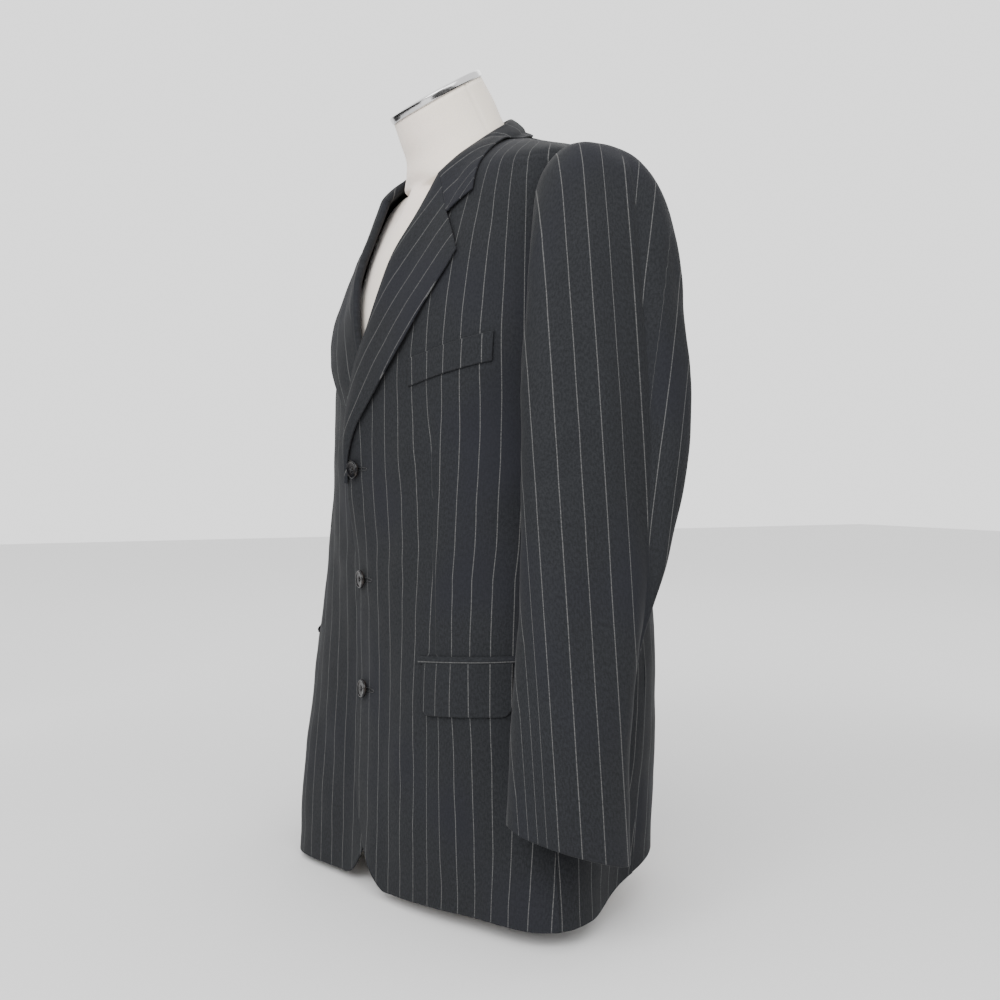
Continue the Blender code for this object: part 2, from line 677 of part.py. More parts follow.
def sleeve_section(turn, spot):
    """A point of the sleeve on a section of the table."""
    value = {key: read(SLEEVE, key, spot) for key in SLEEVE[0]}
    outer = Vector((value["outer_x"], 0.0, value["outer_z"]))
    inner = Vector((value["inner_x"], 0.0, value["inner_z"]))
    middle_y = (value["fore_y"] + value["back_y"]) / 2.0
    half_y = (value["back_y"] - value["fore_y"]) / 2.0
    sine, cosine = math.sin(math.radians(turn)), math.cos(math.radians(turn))
    middle = (outer + inner) / 2.0
    reach = (outer - inner) / 2.0
    away = (turn - value["fold_angle"] + 180.0) % 360.0 - 180.0
    crease = value["fold"] * math.exp(-((away / FOLD_HALF_ANGLE) ** 2))
    reach = reach * (abs(cosine) ** 0.85 * math.copysign(1.0, cosine))
    reach -= reach.normalized() * crease if reach.length > 0 else Vector()
    low = smooth(spot - 6.0)
    swing = math.radians(SLEEVE_TURN) * smooth(spot / 4.0)
    fore = -half_y * abs(sine) ** 0.92 * math.copysign(1.0, sine)
    rise = SLEEVE_CUFF_RISE * low * (-fore / half_y)
    here = middle + reach
    return Vector((
        here.x - math.sin(swing) * -fore * 1.0,
        middle_y + fore * math.cos(swing),
        here.z + rise,
    ))


def sleeve_point(turn, v):
    """v runs from 0 at the armhole to 1 at the cuff."""
    last = len(SLEEVE) - 1.0
    start_share = 0.06
    if v < start_share:
        edge = armhole_point(turn, 0.0035, WALL + 0.0020)
        first = sleeve_section(turn, 0.0)
        return edge.lerp(first, v / start_share)
    return sleeve_section(turn, last * (v - start_share) / (1.0 - start_share))


SLEEVE_ROWS = (
    0.0, 0.06, 0.10, 0.145, 0.19, 0.24, 0.30, 0.36, 0.42, 0.48, 0.54, 0.60, 0.66, 0.72, 0.78,
    0.84, 0.89, 0.94, 1.0,
)


def build_sleeve(side):
    last = len(SLEEVE) - 1.0

    def seam(v):
        return read(SLEEVE, "seam_angle", last * max(v - 0.06, 0.0) / 0.94)

    gap = 0.12

    def top_point(u, v):
        """u is 0 at the front seam, 0.5 to 0.7 across the long fold and 1 at the back seam."""
        start, end = SLEEVE_FRONT_SEAM - gap, seam(v) + gap
        fold = read(SLEEVE, "fold_angle", last * max(v - 0.06, 0.0) / 0.94)
        fold = max(fold, end + 1.5 * FOLD_HALF_ANGLE)
        near, far = fold + FOLD_HALF_ANGLE * 1.2, fold - FOLD_HALF_ANGLE * 1.2
        if u <= 0.5:
            return sleeve_point(start + (near - start) * u / 0.5, v)
        if u <= 0.75:
            return sleeve_point(near + (far - near) * (u - 0.5) / 0.25, v)
        return sleeve_point(far + (end - far) * (u - 0.75) / 0.25, v)

    def under_point(u, v):
        start, end = seam(v) + 360.0 - gap, SLEEVE_FRONT_SEAM + gap
        return sleeve_point(start + (end - start) * u, v)

    def hung(here, v):
        """On its own side; the right sleeve hangs further back."""
        back = RIGHT_SLEEVE_BACK * smooth(v * 1.2) if side < 0 else 0.0
        return Vector((side * here.x, here.y + back, here.z))

    word = "left" if side > 0 else "right"
    rows = [-v for v in reversed(SLEEVE_ROWS)]
    across = [0.5 * i / 9 for i in range(9)] + [0.5 + 0.25 * i / 4 for i in range(4)]
    across += [0.75 + 0.25 * i / 4 for i in range(5)]
    cloth_sheet(f"sleeve_top_{word}", across, rows, lambda u, v: hung(top_point(u, -v), -v), side)
    cloth_sheet(f"sleeve_under_{word}", shares(9), rows, lambda u, v: hung(under_point(u, -v), -v), side)


# ---------------------------------------------------------------- pockets
def build_flap(side):
    """Hip pocket flap with rounded lower corners, on the front and side panels."""
    lift = WALL + LAYER_GAP

    def point(u, v):
        angle = FLAP_START + (FLAP_END - FLAP_START) * u + POCKET_BACK[side]
        length = (FLAP_END - FLAP_START) * 0.0041
        near_end = min(u, 1.0 - u) * length
        cut = 0.0
        if near_end < FLAP_CORNER:
            share = 1.0 - near_end / FLAP_CORNER
            cut = FLAP_CORNER * (1.0 - math.sqrt(max(1.0 - share * share, 0.0)))
        height = FLAP_TOP + FLAP_RISE * u - (FLAP_DROP - cut) * (1.0 - v)
        return body(side * angle, height, lift + 0.0012 * (1.0 - v))

    name = "flap_left" if side > 0 else "flap_right"
    ends = [0.0, 0.02, 0.07] + [0.07 + 0.86 * i / 9 for i in range(1, 9)] + [0.93, 0.98, 1.0]
    return cloth_sheet(name, ends, shares(5), point, side, wall=0.0016)


def build_jet(side):
    """The piped lip above a flap."""
    def point(u, v):
        angle = FLAP_START - JET_PAST + (FLAP_END - FLAP_START + 2.0 * JET_PAST) * u
        rise = FLAP_RISE * (angle - FLAP_START) / (FLAP_END - FLAP_START)
        height = FLAP_TOP + rise + 0.0006 + JET_HEIGHT * v
        crown = 0.0009 * math.sin(math.pi * v)
        return body(side * (angle + POCKET_BACK[side]), height, WALL + LAYER_GAP + crown)

    name = "jet_left" if side > 0 else "jet_right"
    return cloth_sheet(name, shares(10), shares(2), point, side, wall=0.0014)


def build_welt():
    """Chest pocket welt on the wearer's left."""
    def point(u, v):
        x = WELT["inner_x"] + (WELT["outer_x"] - WELT["inner_x"]) * u
        top = WELT["inner_z"] + (WELT["outer_z"] - WELT["inner_z"]) * u
        return chest(x, top - WELT["drop"] * (1.0 - v), WALL + LAYER_GAP)

    return cloth_sheet("chest_welt", shares(7), shares(2), point, wall=0.0014)


# ---------------------------------------------------------------- buttons
def build_button(number, height, tree):
    """A four-hole button on a thread shank, turned about its own axis."""
    radius, thick = BUTTON_RADIUS, 0.0036
    profile = (
        (0.0, 0.0), (0.0016, 0.0), (0.0016, 0.0014), (radius * 0.72, 0.0014),
        (radius * 0.95, 0.0022), (radius, 0.0034), (radius * 0.93, 0.0014 + thick),
        (radius * 0.80, 0.0014 + thick), (radius * 0.66, 0.0008 + thick), (0.0, 0.0006 + thick),
    )
    segments = 18
    bm = bmesh.new()
    rings = []
    for far, high in profile:
        if far == 0.0:
            rings.append([bm.verts.new((0.0, 0.0, high))])
            continue
        rings.append([
            bm.verts.new((
                far * math.cos(math.tau * i / segments),
                far * math.sin(math.tau * i / segments),
                high,
            ))
            for i in range(segments)
        ])
    for lower, upper in zip(rings, rings[1:]):
        for i in range(segments):
            j = (i + 1) % segments
            corners = [lower[i % len(lower)], lower[j % len(lower)]]
            corners += [upper[j % len(upper)], upper[i % len(upper)]]
            bm.faces.new(list(dict.fromkeys(corners)))
    bmesh.ops.recalc_face_normals(bm, faces=bm.faces)
    made = add_object(f"button_{number}", bm, "button")
    hit, ahead = tree.ray_cast(Vector((CENTRE_X, -0.3, height)), Vector((0.0, 1.0, 0.0)))[:2]
    foot = hit + ahead * 0.0006
    made.matrix_world = Matrix.Translation(foot) @ ahead.to_track_quat("Z", "Y").to_matrix().to_4x4()
    hole = 0.0011
    for i in range(4):
        turn = math.radians(45.0 + 90.0 * i)
        bpy.ops.mesh.primitive_cylinder_add(
            vertices=6, radius=hole, depth=0.02,
            location=(0.0024 * math.cos(turn), 0.0024 * math.sin(turn), 0.0014 + 0.0101),
        )
        cutter = bpy.context.object
        cutter.name = f"hole_{number}_{i + 1}"
        cutter.matrix_world = made.matrix_world @ cutter.matrix_world
        for old in list(cutter.users_collection):
            old.objects.unlink(cutter)
        bpy.data.collections["cutters"].objects.link(cutter)
        cutter.hide_render = True
        cutter.display_type = "WIRE"
        cut = made.modifiers.new(f"Hole {i + 1}", "BOOLEAN")
        cut.object = cutter
        cut.operation = "DIFFERENCE"
    return made


# ---------------------------------------------------------------- dress form
def form_rings(segments):
    rings = []
    turns = [360.0 * i / segments for i in range(segments)]
    for row in FORM_BASE:
        rings.append([
            Vector((
                row["half_width"] * math.sin(math.radians(a)),
                row["middle_y"] - row["half_depth"] * math.cos(math.radians(a)),
                row["height"],
            ))
            for a in turns
        ])
    for row in FORM_TORSO:
        rings.append([form_torso(a, **row) for a in turns])
    for row in FORM_NECK:
        tilt = math.radians(row["tilt"])
        ring = []
        for a in turns:
            wide = row["half_width"] * math.sin(math.radians(a))
            deep = -row["half_depth"] * math.cos(math.radians(a))
            ring.append(Vector((
                wide, row["middle_y"] + deep * math.cos(tilt), row["height"] + deep * math.sin(tilt)
            )))
        rings.append(ring)
    return rings


def form_torso(angle, station, inset, chest):
    """The body's ring without its flares, drawn in, with the chest brought forward."""
    turn = math.radians(angle)
    sine, cosine = math.sin(turn), math.cos(turn)
    width = read(BODY, "half_width", station, "station") - inset
    depth = read(BODY, "front_depth" if cosine > 0 else "back_depth", station, "station") - inset
    power = read(BODY, "squareness", station, "station")
    reach = (abs(sine / width) ** power + abs(cosine / depth) ** power) ** (-1.0 / power)
    end_z = read(BODY, "front_z" if cosine > 0 else "back_z", station, "station")
    height = station + (end_z - station) * abs(cosine) ** (2.0 if cosine > 0 else 1.15) - inset * 0.3
    turned = (angle + 180.0) % 360.0 - 180.0
    forward = chest * math.exp(-((turned / CHEST_HALF_ANGLE) ** 2))
    return Vector((reach * sine, -reach * cosine - forward, height))


def build_form():
    segments = 28
    bm = bmesh.new()
    rings = [[bm.verts.new(p) for p in ring] for ring in form_rings(segments)]
    for lower, upper in zip(rings, rings[1:]):
        for i in range(segments):
            j = (i + 1) % segments
            bm.faces.new((lower[i], lower[j], upper[j], upper[i]))
    bm.faces.new(list(reversed(rings[0])))
    bm.faces.new(rings[-1])
    bmesh.ops.recalc_face_normals(bm, faces=bm.faces)
    return add_object("dress_form", bm, "form_cloth")


def build_cap():
    """The metal neck cap: a low disc with a rounded rim and a slightly domed top."""
    bm = bmesh.new()
    segments = 36
    profile = (
        (CAP_RADIUS - 0.001, 0.0), (CAP_RADIUS, 0.001), (CAP_RADIUS, CAP_HEIGHT - 0.002),
        (CAP_RADIUS - 0.002, CAP_HEIGHT), (CAP_RADIUS * 0.6, CAP_HEIGHT + 0.0016),
    )
    rings = [
        [
            bm.verts.new((
                far * math.cos(math.tau * i / segments), far * math.sin(math.tau * i / segments), high
            ))
            for i in range(segments)
        ]
        for far, high in profile
    ]
    for lower, upper in zip(rings, rings[1:]):
        for i in range(segments):
            j = (i + 1) % segments
            bm.faces.new((lower[i], lower[j], upper[j], upper[i]))
    bm.faces.new(list(reversed(rings[0])))
    bm.faces.new(rings[-1])
    bmesh.ops.recalc_face_normals(bm, faces=bm.faces)
    made = add_object("neck_cap", bm, "metal")
    top = FORM_NECK[-1]
    tilt = math.radians(CAP_TILT)
    up = Vector((0.0, -math.sin(tilt), math.cos(tilt)))
    foot = Vector((0.0, top["middle_y"], top["height"])) + up * SEAM_GAP
    made.matrix_world = Matrix.Translation(foot) @ Matrix.Rotation(tilt, 4, "X")
    return made


def main():
    for old in list(bpy.data.objects):
        bpy.data.objects.remove(old, do_unlink=True)
    for name in (COLLECTION, "cutters"):
        made = bpy.data.collections.new(name)
        bpy.context.scene.collection.children.link(made)
    for side in (1, -1):
        panels = [build_front(side), build_back(side)]
        build_side(side)
        tree = surface_of(*panels)
        build_lapel(side, tree)
        build_sleeve(side)
        build_flap(side)
        build_jet(side)
    both = [bpy.data.objects[name] for name in ("front_left", "back_left", "front_right", "back_right")]
    build_collar(surface_of(*both))
    build_welt()
    tree = surface_of(both[0])
    for number, height in enumerate(BUTTON_HEIGHTS, start=1):
        build_button(number, height, tree)
    build_form()
    build_cap()


main()
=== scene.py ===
"""Looks of the three-button blazer on its dress form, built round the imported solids.

Metres, +Z up. The front faces -Y and the wearer's left is +X. Each piece of cloth is a finer shell
on the form of the solid that it replaces, with the creases of worn wool, and carries a map in
metres of the cloth: across the stripes and along them.
"""

import math
from functools import cache

import bmesh
import bpy
import numpy as np
from mathutils import Matrix, Vector
from mathutils.bvhtree import BVHTree
from mathutils.kdtree import KDTree


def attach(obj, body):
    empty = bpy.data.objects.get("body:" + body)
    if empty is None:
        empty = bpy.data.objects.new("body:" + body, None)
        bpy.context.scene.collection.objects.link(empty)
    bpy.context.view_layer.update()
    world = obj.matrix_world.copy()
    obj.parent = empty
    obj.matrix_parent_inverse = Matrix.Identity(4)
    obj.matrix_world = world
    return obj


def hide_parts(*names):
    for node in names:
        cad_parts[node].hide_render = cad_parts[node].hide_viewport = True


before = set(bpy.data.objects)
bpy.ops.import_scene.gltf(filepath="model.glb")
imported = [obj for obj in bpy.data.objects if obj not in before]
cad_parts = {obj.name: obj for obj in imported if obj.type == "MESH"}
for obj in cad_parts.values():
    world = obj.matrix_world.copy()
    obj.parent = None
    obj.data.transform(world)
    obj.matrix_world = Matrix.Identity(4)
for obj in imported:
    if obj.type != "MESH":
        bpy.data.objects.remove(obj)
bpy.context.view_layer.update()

# ---------------------------------------------------------------- driving sizes
WALL = 0.0018            # cloth, interlining and seam allowance together
SEAM_GAP = 0.0003        # between neighbouring pieces
LAYER_GAP = 0.0008       # between a piece and the panel it lies on
CENTRE_X = 0.015         # the buttoned fronts hang this far towards the wearer's left
FRONT_OVERLAP = 0.020    # how far each front passes the line of the buttons
OVERLAP_LIFT = 0.0034    # the left front lies this much further out than the right
LIFT_FULL = 0.046        # over this width from its edge
LIFT_END = 0.100         # and is back on the body here
EDGE_PUFF = 0.0060       # the left edge swells out this much under the turn of the lapel
RIGHT_BELOW = 0.0125     # the right fold lies this much further in where the left covers it
PULL_WIDTH = 0.060       # the fronts rise to the fold line over this width
QUARTER_WIDTH = 0.085    # rounded lower corner of each front
QUARTER_HEIGHT = 0.096
QUARTER_ROUND = 1.5      # 2 would make the corner an ellipse, less cuts it away straighter
QUARTER_TOP = 0.170      # above this height nothing of the front moves for the corner
FRONT_DEGREE = 0.0033    # width of a degree of a front
FLAP_DEGREE = 0.0041     # and of a flap
PUFF_START = 0.33        # the swelling of the left edge begins at this height
PUFF_WIDTH = 0.05
OVERLAP_FADE = (0.50, 0.07)  # above the first height the overlap is gone after the second
PANEL_LIFT = 0.0001      # fronts lie this much further out than backs and sides
BUTTON_HEIGHTS = (0.434, 0.321, 0.208)
BUTTON_RADIUS = 0.0095
SIDE_FRONT_ANGLE = 80.0  # seams, as angles round the body from the centre front
SIDE_BACK_ANGLE = 110.0
ARMHOLE_ANGLE = 96.0     # middle of the armhole, and its half width and half height
ARMHOLE_HALF_ANGLE = 17.0
ARMHOLE_LEAN = 3.0       # its top lies this many degrees further back, its foot further forward
ARMHOLE_HEIGHT = 0.636
ARMHOLE_HALF_HEIGHT = 0.097
ARMHOLE_SQUARENESS = 2.2
ARMHOLE_RADIUS = 0.2     # of the body there
SEAM_RADIUS = 0.19       # and at the other seams
HIGH_BEND = {True: 2.0, False: 1.15}  # how a ring climbs towards the centre front, and the back
ROLL_RADIUS = 0.0031     # of the fold of lapel and collar
CAP_RADIUS = 0.0545
CAP_HEIGHT = 0.0078
CAP_TILT = 32.0


def table(columns, *rows):
    """Rows of numbers under named columns."""
    names = columns.split()
    return [dict(zip(names, row)) for row in rows]


# Rings of the body from the hem up. station is the height at the side, the other heights are at
# the centre front and the centre back of the same ring.
BODY = table(
    "station front_z back_z half_width front_depth back_depth squareness",
    (0.018, 0.009, 0.088, 0.239, 0.138, 0.162, 2.0),
    (0.090, 0.083, 0.130, 0.236, 0.136, 0.161, 2.1),
    (0.190, 0.186, 0.202, 0.230, 0.134, 0.155, 2.3),
    (0.265, 0.264, 0.268, 0.224, 0.134, 0.152, 2.4),
    (0.340, 0.340, 0.341, 0.217, 0.136, 0.146, 2.4),
    (0.420, 0.420, 0.421, 0.212, 0.140, 0.141, 2.3),
    (0.490, 0.491, 0.492, 0.213, 0.141, 0.144, 2.2),
    (0.540, 0.547, 0.552, 0.218, 0.137, 0.150, 2.2),
    (0.590, 0.600, 0.608, 0.217, 0.127, 0.152, 2.2),
    (0.640, 0.648, 0.660, 0.211, 0.113, 0.150, 2.2),
    (0.685, 0.682, 0.702, 0.208, 0.097, 0.140, 2.2),
    (0.717, 0.706, 0.732, 0.209, 0.083, 0.118, 2.2),
    (0.735, 0.722, 0.750, 0.205, 0.073, 0.098, 2.2),
    (0.750, 0.737, 0.764, 0.168, 0.065, 0.083, 2.1),
    (0.764, 0.752, 0.776, 0.122, 0.058, 0.064, 2.0),
    (0.778, 0.764, 0.786, 0.082, 0.050, 0.044, 2.0),
)

# The right front hangs lower at its hem: where, over how wide an angle, how far, and up to where.
HEM_DROP = {"angle": -52.0, "half_angle": 26.0, "depth": 0.008, "fade_height": 0.16}

# Soft flares of the skirt: where each lies round the body, its half width, how far it stands out
# at the hem and the height where it has died away.
FLARES = table(
    "angle half_angle depth fade_height",
    (78.0, 11.0, 0.030, 0.20),
    (103.0, 14.0, -0.024, 0.26),
    (131.0, 12.0, -0.006, 0.32),
    (158.0, 12.0, 0.009, 0.30),
    (-44.0, 22.0, 0.045, 0.46),
    (-80.0, 13.0, 0.014, 0.30),
    (-106.0, 12.0, -0.012, 0.28),
    (-134.0, 12.0, 0.008, 0.32),
    (-163.0, 10.0, -0.004, 0.30),
)

# Sections of the left lapel and collar, from the break at the front edge up and round to the
# centre back: the fold line, and the outer edge that lies on the chest or the back.
LAPEL = table(
    "roll_x roll_y roll_z edge_x edge_y edge_z",
    (-0.0070, -0.1500, 0.422, 0.0010, -0.1490, 0.420),
    (-0.0060, -0.1535, 0.452, 0.0065, -0.1500, 0.446),
    (-0.0005, -0.1535, 0.492, 0.0250, -0.1460, 0.480),
    (0.0100, -0.1490, 0.535, 0.0590, -0.1340, 0.517),
    (0.0245, -0.1410, 0.575, 0.0890, -0.1200, 0.555),
    (0.0370, -0.1300, 0.620, 0.1150, -0.1060, 0.598),
    (0.0475, -0.1185, 0.655, 0.1360, -0.0830, 0.643),
    (0.0600, -0.0995, 0.692, 0.1440, -0.0680, 0.688),
    (0.0705, -0.0800, 0.732, 0.1460, -0.0530, 0.735),
)
LAPEL_TIP = 6            # the section that ends at the lapel's tip
LAPEL_STAND = 0.007      # how far the lapel's cloth goes back inside its fold
STAND_FULL = 1.5         # from this section on
STAND_SLOPE = 0.0006     # the cloth inside the fold leans by this
CORE_BACK = 0.0006       # the panel ends this much behind the middle of the fold
CROSSED = 5.0            # the right lapel is back on its own side by this section
BELOW = {"start": 3.0, "over": 2.6}  # it comes out from under the left one over these sections
NOTCH_ACROSS = 0.56      # how far out from the fold the notch begins
SPRING = {1: 0.003, -1: 0.009}  # how far the free edge of each lapel stands off the chest
SPRING_START = {1: 0.0, -1: 2.2}  # between this section
SPRING_END = 7.0         # and this one
TOP_GAP = 0.0008         # under a turned-over layer, beside LAYER_GAP
TOP_PUFF = 0.0016        # and how far the layer swells up in its middle
ROLL_SHARE = 0.3         # share of its width in which it comes down from the fold
GORGE_GAP = 0.018        # between lapel and collar, in sections
COLLAR_TURN = 1.6        # the collar has taken its own slope by this section
RIGHT_START = 2.5        # the hidden lower end of the right lapel, at its fold
RIGHT_START_EDGE = 1.4   # and at its outer edge

COLLAR = table(
    "roll_x roll_y roll_z edge_x edge_y edge_z stand",
    (0.0705, -0.0800, 0.732, 0.1310, -0.0640, 0.703, 0.007),
    (0.0765, -0.0600, 0.752, 0.1230, -0.0530, 0.727, 0.007),
    (0.0785, -0.0340, 0.772, 0.1120, -0.0330, 0.746, 0.008),
    (0.0720, -0.0090, 0.789, 0.0960, -0.0040, 0.764, 0.009),
    (0.0540, 0.0075, 0.801, 0.0730, 0.0200, 0.777, 0.010),
    (0.0285, 0.0195, 0.809, 0.0415, 0.0350, 0.786, 0.011),
    (0.0000, 0.0265, 0.812, 0.0000, 0.0440, 0.788, 0.011),
)

# Sections of the left sleeve after the armhole: the outer and the inner side in front view, how
# far it reaches forward and back, the depth of the long fold and where it and the back seam lie.
SLEEVE = table(
    "outer_x outer_z inner_x inner_z fore_y back_y fold fold_angle seam_angle",
    (0.226, 0.739, 0.2330, 0.535, -0.058, 0.076, 0.001, -8.0, -98.0),
    (0.244, 0.734, 0.2330, 0.528, -0.064, 0.079, 0.003, -8.0, -97.0),
    (0.262, 0.713, 0.2340, 0.519, -0.070, 0.081, 0.006, -10.0, -96.0),
    (0.275, 0.664, 0.2355, 0.508, -0.075, 0.081, 0.009, -10.0, -95.0),
    (0.284, 0.600, 0.2370, 0.492, -0.080, 0.080, 0.012, -12.0, -94.0),
    (0.292, 0.535, 0.2390, 0.468, -0.084, 0.082, 0.013, -14.0, -92.0),
    (0.297, 0.465, 0.2410, 0.435, -0.086, 0.078, 0.013, -18.0, -88.0),
    (0.300, 0.385, 0.2430, 0.380, -0.087, 0.056, 0.012, -30.0, -80.0),
    (0.302, 0.300, 0.2450, 0.300, -0.089, 0.027, 0.007, -60.0, -82.0),
    (0.305, 0.215, 0.2480, 0.222, -0.097, 0.010, 0.002, -74.0, -86.0),
    (0.307, 0.150, 0.2500, 0.160, -0.103, 0.007, 0.001, -78.0, -90.0),
    (0.308, 0.098, 0.2510, 0.110, -0.106, 0.006, 0.000, -80.0, -90.0),
)
SLEEVE_FRONT_SEAM = 122.0
SLEEVE_START = 0.06       # share of the sleeve's length that joins it to the armhole
SLEEVE_CUFF_RISE = 0.020  # the cuff is this much higher in front than behind
CUFF_RISE_START = 6.0     # the rows climb towards it from this section on
SLEEVE_TURN = 3.0         # the front of the sleeve hangs closer in
SLEEVE_TURNED = 4.0       # from this section on
SLEEVE_ROUND = {"across": 0.85, "along": 0.92}  # 1 would make the sections ellipses
SLEEVE_HEAD = {"grow": 0.0035, "lift": WALL + 0.0020}  # its first ring, round the armhole
RIGHT_SLEEVE_BACK = 0.055  # the right sleeve hangs this much further back at the cuff
FOLD_HALF_ANGLE = 17.0

# The form inside the cloth: how far it stays inside each ring of the body, and how much further
# forward its chest comes in the middle.
FORM_TORSO = table(
    "station inset chest",
    (0.130, 0.030, 0.000),
    (0.190, 0.022, 0.000),
    (0.265, 0.020, 0.000),
    (0.340, 0.026, 0.000),
    (0.420, 0.030, 0.000),
    (0.490, 0.024, 0.000),
    (0.545, 0.014, 0.000),
    (0.595, 0.006, 0.002),
    (0.645, 0.005, 0.006),
    (0.690, 0.005, 0.010),
    (0.716, 0.006, 0.013),
    (0.734, 0.007, 0.018),
    (0.746, 0.008, 0.021),
)
CHEST_HALF_ANGLE = 24.0
FORM_BASE = table(
    "height half_width half_depth middle_y",
    (0.000, 0.125, 0.075, 0.010),
    (0.006, 0.132, 0.081, 0.010),
    (0.035, 0.158, 0.100, 0.009),
    (0.080, 0.182, 0.118, 0.006),
)
FORM_NECK = table(
    "middle_y height half_width half_depth tilt",
    (-0.0130, 0.7480, 0.096, 0.064, 9.0),
    (-0.0200, 0.7640, 0.070, 0.062, 15.0),
    (-0.0290, 0.7850, 0.059, 0.056, 22.0),
    (-0.0390, 0.8070, 0.0545, 0.0555, 28.0),
    (-0.0505, 0.8290, 0.0530, 0.0530, 32.0),
)

# Pockets, in angle round the body and height.
FLAP_START = 46.3
FLAP_END = 72.0
FLAP_TOP = 0.248
FLAP_RISE = 0.0065       # the pocket slopes up towards the side by this much
FLAP_DROP = 0.0485
POCKET_BACK = {1: 0.0, -1: 5.0}  # the right one hangs this angle further back
JET_PAST = 1.9           # the lip above runs on past the flap by this angle at each end
FLAP_CORNER = 0.010
JET_HEIGHT = 0.0055
WELT = {"inner_x": 0.104, "outer_x": 0.187, "inner_z": 0.541, "outer_z": 0.562, "drop": 0.027}


# ---------------------------------------------------------------- small tools
def smooth(value):
    value = min(max(value, 0.0), 1.0)
    return value * value * (3.0 - 2.0 * value)


def bell(away, half_width):
    """1 at 0, dying away on both sides."""
    return math.exp(-((away / half_width) ** 2))


def turned(angle):
    """The same angle, from -180 to 180."""
    return (angle + 180.0) % 360.0 - 180.0


def read(rows, key, place, by=None):
    """Column key at a place along the rows: an index, or a value of column by. It is a cubic
    through the rows."""
    if by is None:
        spot = place
    else:
        last = len(rows) - 2
        low = max((i for i in range(last + 1) if rows[i][by] <= place), default=0)
        spot = low + (place - rows[low][by]) / (rows[low + 1][by] - rows[low][by])
    low = min(max(int(math.floor(spot)), 0), len(rows) - 2)
    part = spot - low
    at = [rows[min(max(i, 0), len(rows) - 1)][key] for i in (low - 1, low, low + 1, low + 2)]
    if by is None:
        slope_a = (at[2] - at[0]) / 2.0
        slope_b = (at[3] - at[1]) / 2.0
    else:
        here = [rows[min(max(i, 0), len(rows) - 1)][by] for i in (low - 1, low, low + 1, low + 2)]
        span = here[2] - here[1]
        slope_a = (at[2] - at[0]) / (here[2] - here[0]) * span
        slope_b = (at[3] - at[1]) / (here[3] - here[1]) * span
    square, cube = part * part, part * part * part
    return (
        at[1] * (2 * cube - 3 * square + 1)
        + at[2] * (3 * square - 2 * cube)
        + slope_a * (cube - 2 * square + part)
        + slope_b * (cube - square)
    )


def solve(function, low, high, steps=40):
    """Where a rising or falling function is zero."""
    rising = function(high) > function(low)
    for _ in range(steps):
        middle = (low + high) / 2.0
        if (function(middle) > 0.0) == rising:
            high = middle
        else:
            low = middle
    return (low + high) / 2.0


# ---------------------------------------------------------------- body of the coat
def plain_ring(sine, cosine, station, inset=0.0):
    """How far a ring without flares reaches in one direction, drawn in, and its height there."""
    ahead = cosine > 0
    width = read(BODY, "half_width", station, "station") - inset
    depth = read(BODY, "front_depth" if ahead else "back_depth", station, "station") - inset
    power = read(BODY, "squareness", station, "station")
    reach = (abs(sine / width) ** power + abs(cosine / depth) ** power) ** (-1.0 / power)
    end_z = read(BODY, "front_z" if ahead else "back_z", station, "station")
    return reach, station + (end_z - station) * abs(cosine) ** HIGH_BEND[ahead]


def swelling(row, angle, station):
    """How much of a flare, or of the hem's drop, is at a place of the body."""
    fade = smooth((row["fade_height"] - station) / row["fade_height"])
    return row["depth"] * bell(turned(angle - row["angle"]), row["half_angle"]) * fade


def ring_point(angle, station):
    """A point of the body's inner surface. angle is in degrees from the centre front towards the
    wearer's left, station is the height of the ring at the side."""
    turn = math.radians(angle)
    sine, cosine = math.sin(turn), math.cos(turn)
    reach, height = plain_ring(sine, cosine, station)
    for flare in FLARES:
        reach += swelling(flare, angle, station)
    height -= swelling(HEM_DROP, angle, station)
    return Vector((reach * sine, -reach * cosine, height))


def body(angle, station, lift=0.0):
    """The same point, moved out of the cloth's surface by lift."""
    here = ring_point(angle, station)
    if lift == 0.0:
        return here
    top = BODY[-1]["station"]
    up = min(station + 0.004, top)
    down = min(station, top - 0.004)
    round_it = ring_point(angle + 0.5, station) - ring_point(angle - 0.5, station)
    rise = ring_point(angle, up) - ring_point(angle, down)
    return here + round_it.cross(rise).normalized() * lift


def angle_at_x(x, station):
    return solve(lambda a: ring_point(a, station).x - x, -60.0, 88.0)


def station_at(angle, z):
    return solve(lambda h: ring_point(angle, h).z - z, BODY[0]["station"], BODY[-1]["station"])


def chest(x, z, lift):
    """A point over the front at a distance from the centre line and a height."""
    station = z
    for _ in range(6):
        angle = angle_at_x(x, station)
        station = station_at(angle, z)
    return body(angle, station, lift)


def armhole_angle(station, back=False):
    """Front or back edge of the armhole at a ring, or the shoulder seam above it."""
    share = min(max((station - ARMHOLE_HEIGHT) / ARMHOLE_HALF_HEIGHT, -1.0), 1.0)
    half = ARMHOLE_HALF_ANGLE * (1.0 - abs(share) ** ARMHOLE_SQUARENESS) ** (1.0 / ARMHOLE_SQUARENESS)
    return ARMHOLE_ANGLE + ARMHOLE_LEAN * share + (half if back else -half)


def armhole_edge(turn, grow=0.0):
    """Angle and ring of the armhole's edge. turn is 0 at the shoulder, 90 in front and 180 under
    the arm; grow moves it out."""
    sine, cosine = math.sin(math.radians(turn)), math.cos(math.radians(turn))
    power = 2.0 / ARMHOLE_SQUARENESS
    forward = math.copysign(abs(sine) ** power, sine)
    upward = math.copysign(abs(cosine) ** power, cosine)
    half = ARMHOLE_HALF_ANGLE + math.degrees(grow / ARMHOLE_RADIUS)
    angle = ARMHOLE_ANGLE + ARMHOLE_LEAN * upward - half * forward
    return angle, ARMHOLE_HEIGHT + (ARMHOLE_HALF_HEIGHT + grow * 0.4) * upward


